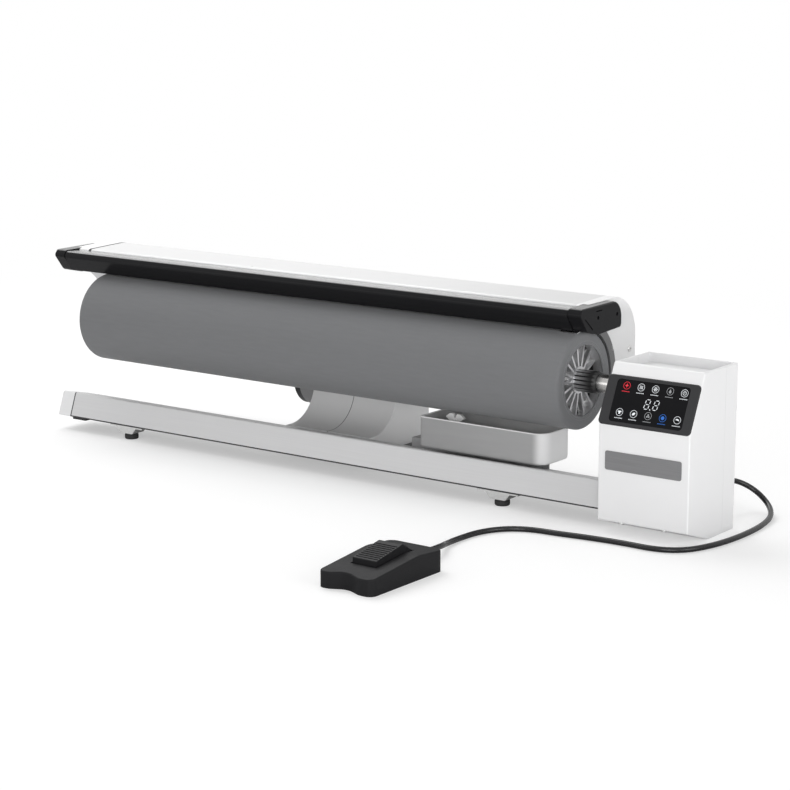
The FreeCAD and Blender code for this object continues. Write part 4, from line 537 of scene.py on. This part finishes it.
def drawn_on(shape, edges, grow, rise):
    """Extrude a loop of edges: scale it about the axis and move it along the axis."""
    made = bmesh.ops.extrude_edge_only(shape, edges=edges)["geom"]
    verts = points_in(made)
    bmesh.ops.scale(shape, vec=(grow, grow, 1), verts=verts)
    bmesh.ops.translate(shape, vec=(0, 0, rise), verts=verts)
    return [part for part in made
            if isinstance(part, bmesh.types.BMEdge) and set(part.verts) <= set(verts)]


def cross_screws(name, radius, height, seats, body, node):
    """Screw heads on their seats; each seat is a point and the direction out of it."""
    shape = bmesh.new()
    arm, half, flat_top = 0.52 * radius, 0.14 * radius, 0.70 * radius
    recess_depth, recess_taper, stop_angle = 0.55 * height, 0.7, 0.6
    cross = [(half, arm), (half, half), (arm, half), (arm, -half),
             (half, -half), (half, -arm), (-half, -arm), (-half, -half),
             (-arm, -half), (-arm, half), (-half, half), (-half, arm)]
    corners = [shape.verts.new((x, y, height)) for x, y in cross]
    recess = [shape.edges.new((corners[k - 1], corners[k])) for k in range(len(corners))]
    crown = bmesh.ops.create_circle(shape, segments=24, radius=flat_top,
                                    matrix=Matrix.Translation((0, 0, height)))["verts"]
    crown_edges = [edge for edge in shape.edges if edge.verts[0] in crown]
    bmesh.ops.triangle_fill(shape, edges=recess + crown_edges, use_beauty=True)
    recess_floor = drawn_on(shape, recess, recess_taper, -recess_depth)
    bmesh.ops.contextual_create(shape, geom=recess_floor)
    rim = crown_edges
    for grow, drop in ((1.22, 0.10), (1.12, 0.20), (1.046, 0.25), (1.0, 0.45)):
        rim = drawn_on(shape, rim, grow, -drop * height)
    bmesh.ops.contextual_create(shape, geom=rim)
    model = shape.verts[:] + shape.edges[:] + shape.faces[:]
    for turn, (seat, out) in enumerate(seats):
        copy = bmesh.ops.duplicate(shape, geom=model)["geom"]
        place = Vector(out).to_track_quat("Z", "Y").to_matrix().to_4x4()
        place = Matrix.Translation(seat) @ place @ Matrix.Rotation(stop_angle * turn, 4, "Z")
        bmesh.ops.transform(shape, matrix=place, verts=points_in(copy))
    bmesh.ops.delete(shape, geom=points_in(model), context="VERTS")
    piece_of(shape, name, screw_zinc, body, "screw_steel", node)


screw_zinc = ground("screw zinc", (0.68, 0.68, 0.67), 0.28, 1600, (1, 1, 1))
rear = (0, 1, 0)
chin = (0, -0.313, -0.950)
box_seats = [((0.473, 0.2026, 0.018), rear), ((0.591, 0.2026, 0.018), rear),
             ((0.473, 0.2026, 0.1974), rear), ((0.591, 0.2026, 0.1974), rear),
             ((0.498, 0.0845, 0.0155), chin), ((0.5619, 0.0845, 0.0155), chin)]
cross_screws("box_cross_screws", 0.0035, 0.0015, box_seats, "base", "box_screws")

# Panel frame: charcoal moulded surround set on the lean of the front shell, with a bevelled edge.
# Fine matt grain, so that it stays darker than the box at any angle.
surround_plastic = moulding("surround plastic", (0.034, 0.034, 0.036), 0.5, 0.00004,
                            {"Specular IOR Level": 0.15})
dress(surround_plastic, "panel_frame")

# Panel glass: black printed touch glass, glossy, with faint finger smears in its gloss.
# Held in the surround by adhesive.
touch_glass = Finish("touch glass", (0.005, 0.005, 0.006), 0.07, fixed={"Specular IOR Level": 0.09})
smears = touch_glass.noise(45, 4, (1, 1, 2.5))
touch_glass.give("Roughness", 0.05 + 0.07 * smears.rise(0.45, 0.75))
touch_glass.tint((0.004, 0.004, 0.005), (0.007, 0.007, 0.008), smears)
dress(touch_glass, "panel_glass")

# Panel marks: figures printed on the glass and lit from behind, in white, red, blue and dim white.
# Two rows of five ringed signs with rows of dashes under them, and a two-figure display between.
panel_left, panel_knee = Vector((0.4678, 0, 0)), Vector((0, 0.0781, 0.147))
lean_up = Vector((0, 0.4207, 0.9072))
lean_out = Vector((0, -0.9072, 0.4207))
glass_points = [vert.co for vert in nodes["panel_glass"].data.vertices]
glass_face = max(lean_out.dot(point - panel_knee) for point in glass_points)
panel_axes = Matrix((Vector((1, 0, 0)), lean_up, lean_out)).transposed().to_4x4()
on_panel = Matrix.Translation(panel_left + panel_knee + glass_face * lean_out) @ panel_axes
mm, mark_height = 0.001, 0.00012
marks = {light: bmesh.new() for light in ("white", "red", "blue", "dim")}


def drawn_out(shape, face, way):
    """Extrude a flat face along a way."""
    made = bmesh.ops.extrude_face_region(shape, geom=[face])["geom"]
    bmesh.ops.translate(shape, vec=way, verts=points_in(made))


def patch(shape, spot, corners):
    """Flat figure with these corners round a spot, in millimetres."""
    verts = [shape.verts.new((mm * (spot[0] + x), mm * (spot[1] + y), 0)) for x, y in corners]
    drawn_out(shape, shape.faces.new(verts), (0, 0, mark_height))


def dot(shape, spot, radius, wide=1.0, tilt=0.0):
    """Flat disc, or an ellipse that is wider than it is high, in millimetres."""
    place = Matrix.Translation((mm * spot[0], mm * spot[1], 0))
    place = place @ Matrix.Rotation(math.radians(tilt), 4, "Z") @ Matrix.Diagonal((wide, 1, 1, 1))
    made = bmesh.ops.create_circle(shape, cap_ends=True, segments=20, radius=mm * radius,
                                   matrix=place)["verts"]
    drawn_out(shape, made[0].link_faces[0], (0, 0, mark_height))


def hoop(shape, spot, outer, inner):
    """Flat ring, in millimetres."""
    outline = [(0, mm * inner), (mark_height, mm * inner),
               (mark_height, mm * outer), (0, mm * outer)]
    turned(shape, outline, (mm * spot[0], mm * spot[1], 0), (0, 0, 1), 40)


def star(shape, spot):
    """Star with four points."""
    patch(shape, spot, ((0, 3.1), (0.8, 0.8), (3.1, 0), (0.8, -0.8), (0, -3.1), (-0.8, -0.8),
                        (-3.1, 0), (-0.8, 0.8)))


def steam(shape, spot):
    """Three wisps."""
    for wisp in (-1.7, 0.0, 1.7):
        bends = ((-0.5, -2.4), (0.1, -1.2), (-0.5, 0.0), (0.1, 1.2), (-0.5, 2.4))
        other_side = tuple((x + 0.7, y) for x, y in reversed(bends))
        patch(shape, (spot[0] + wisp, spot[1]), bends + other_side)


def fan(shape, spot):
    """Six blades round a boss."""
    dot(shape, spot, 0.75)
    for blade in range(6):
        turn = blade * math.pi / 3
        dot(shape, (spot[0] + 2.1 * math.cos(turn), spot[1] + 2.1 * math.sin(turn)), 0.8)


def drop(shape, spot):
    """Drop of water."""
    patch(shape, spot, ((0, 3.0), (0.7, 1.5), (1.5, 0.2), (1.8, -0.9), (1.4, -2.1), (0.5, -2.7),
                        (-0.5, -2.7), (-1.4, -2.1), (-1.8, -0.9), (-1.5, 0.2), (-0.7, 1.5)))


def power(shape, spot):
    """Ring with an upright stroke."""
    hoop(shape, spot, 2.7, 2.1)
    patch(shape, spot, ((-0.35, -0.3), (0.35, -0.3), (0.35, 1.5), (-0.35, 1.5)))


def shirt(shape, spot):
    """Shirt with short sleeves."""
    patch(shape, spot, ((-1.3, -2.4), (1.3, -2.4), (1.3, 0.4), (2.4, -0.2), (2.9, 1.1),
                        (1.2, 2.2), (0.5, 1.7), (-0.5, 1.7), (-1.2, 2.2), (-2.9, 1.1),
                        (-2.4, -0.2), (-1.3, 0.4)))


def cocoon(shape, spot):
    """Leaning ellipse."""
    dot(shape, spot, 1.7, 1.5, 35)


def skeins(shape, spot):
    """Three balls of wool."""
    for x, y in ((0, 1.3), (-1.4, -1.1), (1.4, -1.1)):
        dot(shape, (spot[0] + x, spot[1] + y), 1.15)


def disc(shape, spot):
    """Plain disc."""
    dot(shape, spot, 2.5)


def leaf(shape, spot):
    """Curved leaf."""
    patch(shape, spot, ((-3.0, 0.2), (-1.6, 1.6), (0.2, 1.9), (1.9, 0.9), (3.1, -1.2), (1.4, -0.5),
                        (-0.6, -0.2)))


high_row, low_row, sign_ring, dash_drop = 54.8, 18.5, (5.15, 4.65), 8.0
dash_square = ((-0.5, -0.5), (0.5, -0.5), (0.5, 0.5), (-0.5, 0.5))
for across, slope, light, sign in (
    (24.9, high_row, "red", star), (46.4, high_row, "white", steam),
    (67.8, high_row, "white", fan), (89.5, high_row, "dim", drop),
    (110.7, high_row, "white", power), (23.4, low_row, "white", shirt),
    (44.6, low_row, "white", cocoon), (66.2, low_row, "dim", skeins),
    (87.8, low_row, "blue", disc), (109.3, low_row, "white", leaf),
):
    hoop(marks[light], (across, slope), *sign_ring)
    sign(marks[light], (across, slope))
    for dash in (-5.1, -3.4, -1.7, 0.0, 1.7, 3.4, 5.1):
        patch(marks[light], (across + dash, slope - dash_drop), dash_square)

segment = ((-2.2, 0.0), (-1.8, 0.45), (1.8, 0.45), (2.2, 0.0), (1.8, -0.45), (-1.8, -0.45))
upright = tuple((y, x) for x, y in reversed(segment))
display_row, display_slant, bar_half = 33.5, 0.16, 3.2
figure_bars = ((0, 2 * bar_half, segment), (0, 0, segment), (0, -2 * bar_half, segment),
               (-bar_half, bar_half, upright), (bar_half, bar_half, upright),
               (-bar_half, -bar_half, upright), (bar_half, -bar_half, upright))
for figure in (60.9, 73.9):
    for x, y, bar in figure_bars:
        leaning = [(cx + display_slant * (y + cy), cy) for cx, cy in bar]
        patch(marks["white"], (figure + x, display_row + y), leaning)
dot(marks["white"], (66.4, 26.9), 0.8)

for light, glow in (("white", (0.80, 0.83, 0.86)), ("red", (0.85, 0.02, 0.04)),
                    ("blue", (0.01, 0.13, 0.52)), ("dim", (0.30, 0.31, 0.32))):
    lit_print = Finish("lit print " + light, [0.2 * part for part in glow], 0.3,
                       fixed={"Emission Strength": 1.0})
    evenness = lit_print.noise(260, 2)
    lit_print.give("Emission Color", lit_print.mix([0.8 * part for part in glow], glow, evenness))
    bmesh.ops.transform(marks[light], matrix=on_panel, verts=marks[light].verts[:])
    piece_of(marks[light], "panel_marks_" + light, lit_print, "base", "panel_glass_black")

# Circuit boards: glass-epoxy boards with a green lacquer over their copper tracks.
# The display board is behind the glass, and the control board stands on four posts in the shell.
lacquer = Finish("board lacquer", (0.02, 0.15, 0.06), 0.35)
track_lines = [(lacquer.along(axis) * (2 * math.pi * pitch)).sine().over(0.72)
               for axis, pitch in (("X", 420), ("Z", 380))]
tracks = track_lines[0].higher(track_lines[1]) * lacquer.noise(70, 1).over(0.5)
lacquer.tint((0.014, 0.11, 0.045), (0.05, 0.26, 0.10), tracks)
lacquer.give("Roughness", 0.38 - 0.12 * tracks)
lacquer.relief(tracks, 0.00003)
dress(lacquer, "display_board", "control_board")

# Name plate: a bare strip of satin grey metal foil, stuck on the front of the box.
# Brushed along its length under a thin lacquer.
plate_foil = Finish("plate foil", (0.19, 0.19, 0.195), 0.41)
brushing = plate_foil.noise(900, 3, (0.02, 1, 1))
plate_foil.tint((0.165, 0.165, 0.17), (0.215, 0.215, 0.22), brushing)
plate_foil.give("Roughness", 0.34 + 0.14 * brushing)
plate_foil.relief(brushing, 0.00001)
dress(plate_foil, "name_plate")

# Gears and heater rods: hobbed steel gears with a smear of grease, and sheathed heating rods.
# Their tool lines run round the teeth.
gear_cut = ground("gear steel", (0.44, 0.44, 0.45), 0.32, 1200, (0.05, 1, 1))
dress(gear_cut, "drive_gear", "motor_pinion", "heater_rods")

# Mains inlet: black moulded socket with three pins, screwed into the rear cover.
# Hard gloss plastic.
inlet_plastic = moulding("inlet plastic", (0.014, 0.014, 0.015), 0.35, 0.00002)
dress(inlet_plastic, "mains_inlet")

# Drum core: drawn aluminium tube with a cast disc in its left end and a cast hub in its right one.
# The hub is die cast: bright ribs, a splined boss that is darker towards its end with painted shade
# in its spline grooves, and a dull clouded floor between the ribs with painted shadow round its
# vents.
drum_axis = (0, 0.177, 0.178)
tube_metal = ground("tube metal", (0.62, 0.62, 0.63), 0.34, 800, (0.02, 1, 1))
dress(tube_metal, "drum_tube")
hub_cast = Finish("hub casting", (0.66, 0.66, 0.67), 0.30, 0.8)
cast_skin = hub_cast.noise(420, 4)
hub_floor, rib_top, boss_bright, boss_dark = 0.3604, 0.3645, 0.376, 0.398
spline_root, vent_inner, vent_outer, vents = 0.0153, 0.036, 0.040, 8
hub_x = hub_cast.along("X")
hub_y, hub_z = hub_cast.along("Y") - drum_axis[1], hub_cast.along("Z") - drum_axis[2]
cast_colour = hub_cast.mix((0.46, 0.46, 0.47), (0.64, 0.64, 0.65), cast_skin)
cast_clouds = hub_cast.noise(110, 3).rise(0.40, 0.62)
cast_floor = hub_cast.mix((0.42, 0.42, 0.42), (0.74, 0.74, 0.74), cast_clouds)
hub_reach = hub_y * hub_y + hub_z * hub_z
hub_turn = hub_z.maths("ARCTAN2", hub_z, hub_y)
# Painted shadow round the vents.
vent_painted_shadow = (vents * hub_turn).sine().rise(0.2, 0.7)
vent_painted_shadow = vent_painted_shadow * hub_reach.rise(vent_inner ** 2, vent_outer ** 2)
cast_floor = hub_cast.mix(cast_floor, (0.03, 0.03, 0.03), vent_painted_shadow)
cast_colour = hub_cast.mix(cast_floor, cast_colour, hub_x.rise(hub_floor, rib_top))
# Painted shade in the spline grooves.
spline_groove_shade = hub_reach.under(spline_root ** 2)
boss_dark_and_groove_shade = hub_x.rise(boss_bright, boss_dark).higher(spline_groove_shade)
hub_cast.tint(cast_colour, (0.06, 0.06, 0.06), boss_dark_and_groove_shade)
hub_cast.give("Roughness", 0.22 + 0.2 * cast_skin)
hub_cast.relief(hub_cast.noise(700, 3), 0.00003)
dress(hub_cast, "drum_hub", "drum_end_disc")

# Drum padding: a sleeve of pressed wool felt, wrapped round the tube under the cloth.
# Its ends are rounded where the cloth pulls over them.
drum_left, drum_right, drum_radius = -0.514, 0.379, 0.0683
felt_wool = Finish("felt wool", (0.66, 0.63, 0.56), 0.95, fixed={"Sheen Weight": 0.3})
fibres = felt_wool.noise(1500, 5)
felt_wool.tint((0.56, 0.53, 0.46), (0.74, 0.71, 0.64), fibres)
felt_wool.relief(fibres, 0.0003)
felt_in, felt_out, felt_set_back, felt_round, felt_corner = 0.0622, 0.0663, 0.0026, 0.0015, 0.0004
felt_left, felt_right = drum_left + felt_set_back, drum_right - felt_set_back
felt_outline = (
    (felt_left, felt_in), (felt_left, felt_out - felt_round),
    (felt_left + felt_corner, felt_out - felt_corner), (felt_left + felt_round, felt_out),
    (felt_right - felt_round, felt_out), (felt_right - felt_corner, felt_out - felt_corner),
    (felt_right, felt_out - felt_round), (felt_right, felt_in),
)
felt_shape = bmesh.new()
turned(felt_shape, felt_outline, drum_axis, (1, 0, 0), 96)
felt_sleeve = piece_of(felt_shape, "felt_sleeve", felt_wool, "drum", "felt", "drum_padding")

# Drum cover: a stretched tube of grey heat-proof cloth, drawn over the rims and hemmed at its ends.
# Plain weave; one sewn seam along its length and a row of stitches round each hem.
rim_round, rim_steps, opening, hem = 0.0055, 6, 0.049, 0.0035
cover_shape = bmesh.new()
right_rim = [(drum_right - 0.0023, opening + 0.0004), (drum_right - 0.0008, opening),
             (drum_right + 0.0001, opening + 0.0010), (drum_right, opening + hem),
             (drum_right - 0.0003, opening + hem + 0.0006), (drum_right, opening + hem + 0.0016)]
for step in range(rim_steps + 1):
    turn = step * math.pi / (2 * rim_steps)
    right_rim.append((drum_right - rim_round + rim_round * math.cos(turn),
                      drum_radius - rim_round + rim_round * math.sin(turn)))
left_rim = [(drum_left + drum_right - along, radius) for along, radius in reversed(right_rim)]
bays = 10
bay = (drum_right - drum_left - 2 * rim_round) / bays
lengths = [(drum_right - rim_round - part * bay, drum_radius) for part in range(1, bays)]
turned(cover_shape, right_rim + lengths + left_rim, drum_axis, (1, 0, 0), 144, closed=False)
bmesh.ops.remove_doubles(cover_shape, verts=cover_shape.verts[:], dist=0.000002)
weave_map = cover_shape.loops.layers.uv.new("weave")
seam_below = 1.0


def round_drum(spot):
    """Angle of a point round the drum, from 0 at the seam, which is low at the back."""
    return math.atan2(spot.z - drum_axis[2], spot.y - drum_axis[1]) + seam_below


for face in cover_shape.faces:
    middle = round_drum(face.calc_center_median())
    for loop in face.loops:
        spot = loop.vert.co
        turn = round_drum(spot)
        turn += 2 * math.pi * round((middle - turn) / (2 * math.pi))
        radius = math.hypot(spot.y - drum_axis[1], spot.z - drum_axis[2])
        fold = math.copysign(drum_radius - radius, spot.x)
        loop[weave_map].uv = (spot.x + fold, turn * drum_radius)
threads_round, stitch_length, stitch_gap, hem_row, seam_row = 536, 0.0042, -0.3, 0.0055, 0.003
cover_cloth = Finish("cover cloth", (0.17, 0.173, 0.179), 0.86,
                     fixed={"Sheen Weight": 0.12, "Sheen Roughness": 0.45,
                            "Specular IOR Level": 0.3})
cloth_map = cover_cloth.add("UVMap", {"uv_map": "weave"}, {})
warp_at = cover_cloth.add("SeparateXYZ", {}, {0: cloth_map}, "X")
weft_at = cover_cloth.add("SeparateXYZ", {}, {0: cloth_map}, "Y")
per_thread = threads_round / (2 * drum_radius)
crossing = 0.5 + 0.5 * ((warp_at * per_thread).sine() * (weft_at * per_thread).sine())
slubs = cover_cloth.noise(230, 3, (0.15, 1, 1))
cover_middle, cover_half = (drum_left + drum_right) / 2, (drum_right - drum_left) / 2
hem_at = cover_half + drum_radius - opening - hem_row
hem_line = 1.0 - ((warp_at - cover_middle).size() - hem_at).size().rise(0.0003, 0.0006)
seam_line = 1.0 - (weft_at.size() - seam_row).size().rise(0.0003, 0.0006)
per_stitch = 2 * math.pi / stitch_length
stitch = hem_line * (weft_at * per_stitch).sine().over(stitch_gap)
stitch = stitch.higher(seam_line * (warp_at * per_stitch).sine().over(stitch_gap))
yarn = cover_cloth.mix((0.146, 0.149, 0.154), (0.196, 0.199, 0.205), 0.55 * crossing + 0.45 * slubs)
cover_cloth.tint(yarn, (0.26, 0.263, 0.27), 0.6 * stitch)
seam_fold = 1.0 - weft_at.size().rise(0.0, 0.0022)
cover_cloth.relief(crossing + 2.0 * stitch - 4.0 * seam_fold, 0.00007)
drum_cloth = piece_of(cover_shape, "drum_cloth", cover_cloth, "drum", "cloth_grey", "drum_cover")
cloth_body = drum_cloth.modifiers.new("cloth_body", "SOLIDIFY")
cloth_body.thickness = 0.0016
cloth_body.offset = -1

# Shoe: cast aluminium pressing shoe, curved to the drum, with a dull skin and dark end faces.
# Its thermostat is a stamped aluminium cup screwed on the back.
shoe_cast = Finish("shoe casting", (0.60, 0.60, 0.61), 0.36, 1.0)
shoe_skin = shoe_cast.noise(160, 4)
shoe_middle, shoe_half = -0.105, 0.4837
shoe_ends = (shoe_cast.along("X") - shoe_middle).size().over(shoe_half)
shoe_colour = shoe_cast.mix((0.50, 0.50, 0.51), (0.66, 0.66, 0.67), shoe_skin)
shoe_cast.tint(shoe_colour, (0.17, 0.17, 0.172), shoe_ends)
shoe_cast.give("Roughness", 0.30 + 0.18 * shoe_skin)
shoe_cast.relief(shoe_cast.noise(900, 3), 0.00003)
dress(shoe_cast, "shoe", "thermostat")

# Shoe lip: bright strip of sheet aluminium, bent to the drum and riveted inside the front edge of
# the shoe. It leads the cloth in under the right end of the bar.
def bent_strip(section, left, width):
    """Strip across X, with a section of (Y, Z) points."""
    shape = bmesh.new()
    end = shape.faces.new([shape.verts.new((left, y, z)) for y, z in section])
    drawn_out(shape, end, (width, 0, 0))
    return shape


lip_metal = ground("lip metal", (0.78, 0.78, 0.785), 0.22, 900, (0.03, 1, 1))
lip_left, lip_width, lip_outside, lip_inside = 0.350, 0.028, 0.0701, 0.0693
lip_turns = [math.radians(angle) for angle in (93, 96, 99, 102, 105)]
lip_section = [(drum_axis[1] + radius * math.cos(turn), drum_axis[2] + radius * math.sin(turn))
               for radius, turns in ((lip_outside, lip_turns), (lip_inside, lip_turns[::-1]))
               for turn in turns]
lip_shape = bent_strip(lip_section, lip_left, lip_width)
piece_of(lip_shape, "shoe_lip", lip_metal, "head", "aluminium_cast")

# Head covers: pressed steel top that rolls over to the back, and a flat back panel.
# White stove enamel with a slight orange peel and painted shade towards the right end; its edge in
# the seam at the left end is black.
enamel = Finish("white enamel", (0.74, 0.74, 0.742), 0.30)
enamel_x = enamel.along("X")
shade_right_from, shade_right_to, enamel_seam, seam_black = 0.0, 0.36, -0.5524, (0.02, 0.02, 0.021)
enamel_shade = enamel.mix((0.74, 0.74, 0.742), (0.76, 0.76, 0.762), enamel.noise(12, 3))
# Painted shade: darker towards the right end.
enamel_shade = enamel.mix(enamel_shade, (0.68, 0.68, 0.682), enamel_x.rise(shade_right_from, shade_right_to))
enamel.tint(enamel_shade, seam_black, enamel_x.under(enamel_seam))
enamel.give("Roughness", 0.24 + 0.12 * enamel.noise(28, 4))
enamel.relief(enamel.noise(480, 2), orange_peel)
dress(enamel, "head_top_cover", "head_back_panel")

# Seam strip: black rubber strip in the open seam between the top cover and its left end cover.
# Bent to the roll of the cover from front to back and glued in just below the surface.
strip_rubber = Finish("strip rubber", (0.014, 0.014, 0.015), 0.6)
strip_rubber.tint((0.011, 0.011, 0.012), (0.018, 0.018, 0.019), strip_rubber.noise(110, 3))
strip_rubber.relief(strip_rubber.noise(1500, 2), 0.00005)
roll_y, roll_z, roll_radius, roll_angle, roll_steps = 0.2525, 0.2234, 0.0600, 88.0, 12
strip_left, strip_width, strip_sink, strip_depth = -0.5558, 0.0016, 0.0004, 0.0018
strip_line = [(0.1799, 0.2695), (0.1799, 0.2755), (0.1812, 0.2789), (0.1845, 0.2805)]
for step in range(roll_steps + 1):
    turn = math.radians(roll_angle - step * roll_angle / roll_steps)
    strip_line.append((roll_y + (roll_radius - strip_sink) * math.cos(turn),
                       roll_z + (roll_radius - strip_sink) * math.sin(turn)))
strip_inside = []
for k, (y, z) in enumerate(strip_line):
    before, after = strip_line[max(k - 1, 0)], strip_line[min(k + 1, len(strip_line) - 1)]
    inward = Vector((after[1] - before[1], before[0] - after[0])).normalized()
    strip_inside.append((y + strip_depth * inward.x, z + strip_depth * inward.y))
strip_shape = bent_strip(strip_line + strip_inside[::-1], strip_left, strip_width)
piece_of(strip_shape, "seam_strip", strip_rubber, "head", "rubber_black")

# Head end covers: white moulded cheeks that close the two ends of the head, each held by one screw.
# Satin plastic with a fine grain and painted light along the top; the left one's edge in the seam
# is black.
cheek_plastic = moulded("cheek plastic", (0.70, 0.70, 0.703), 0.42, 0.00003)
top_light_from, top_light_to, cheek_seam, seam_end = 0.255, 0.281, -0.5576, -0.5
cheek_x, cheek_top_light = cheek_plastic.along("X"), cheek_plastic.along("Z").rise(top_light_from, top_light_to)
cheek_clouds = cheek_plastic.noise(9, 3)
cheek_shade = cheek_plastic.mix((0.68, 0.68, 0.683), (0.72, 0.72, 0.723), cheek_clouds)
# Painted light: whiter along the top.
cheek_shade = cheek_plastic.mix(cheek_shade, (0.86, 0.86, 0.863), cheek_top_light)
cheek_plastic.tint(cheek_shade, seam_black, cheek_x.over(cheek_seam) * cheek_x.under(seam_end))
dress(cheek_plastic, "head_end_cover_left", "head_end_cover_right")

# Front bar and its caps: black gloss plastic, the bar extruded and the caps moulded.
# The bar has faint die lines along its length; both are polished on top.
bar_gloss = {"Specular IOR Level": 0.08, "Coat Roughness": 0.25}
bar_plastic = Finish("bar plastic", (0.012, 0.012, 0.013), 0.2, fixed=bar_gloss)
bar_crown, cap_crown = (0.2768, 0.2782), (0.2785, 0.2800)
die_lines = bar_plastic.noise(500, 2, (0.01, 1, 1))
bar_plastic.tint((0.010, 0.010, 0.011), (0.014, 0.014, 0.015), die_lines)
bar_plastic.give("Roughness", 0.16 + 0.08 * die_lines)
bar_plastic.give("Coat Weight", bar_plastic.along("Z").rise(*bar_crown))
dress(bar_plastic, "front_bar")
bar_cap_plastic = moulding("bar cap plastic", (0.010, 0.010, 0.011), 0.24, 0.00001, bar_gloss)
bar_cap_plastic.give("Coat Weight", 0.55 * bar_cap_plastic.along("Z").rise(*cap_crown))
dress(bar_cap_plastic, "bar_cap_left", "bar_cap_right")

# Head screws: plated pan heads with a cross recess, one in each end cover and four in the back
# panel. They are driven home against the covers.
back_seats = [((x, 0.3125, 0.180), rear) for x in (-0.501, -0.2436, 0.0336, 0.291)]
end_seats = [((-0.589, 0.296, 0.2046), (-1, 0, 0)), ((0.379, 0.296, 0.2046), (1, 0, 0))]
cross_screws("head_cross_screws", 0.0045, 0.0014, end_seats + back_seats, "head", "head_screws")

# Foot pedal: black moulded base and cover with a ribbed rocker on a steel pin.
# Matt plastic with a coarse leathery grain; the rocker is a little smoother from use.
pedal_gloss = {"Specular IOR Level": 0.12}
pedal_plastic = moulding("pedal plastic", (0.012, 0.012, 0.013), 0.56, 0.00007, pedal_gloss)
dress(pedal_plastic, "pedal_base", "pedal_cover")
rocker_plastic = moulding("rocker plastic", (0.011, 0.011, 0.012), 0.48, 0.00003, pedal_gloss)
dress(rocker_plastic, "pedal_rocker")
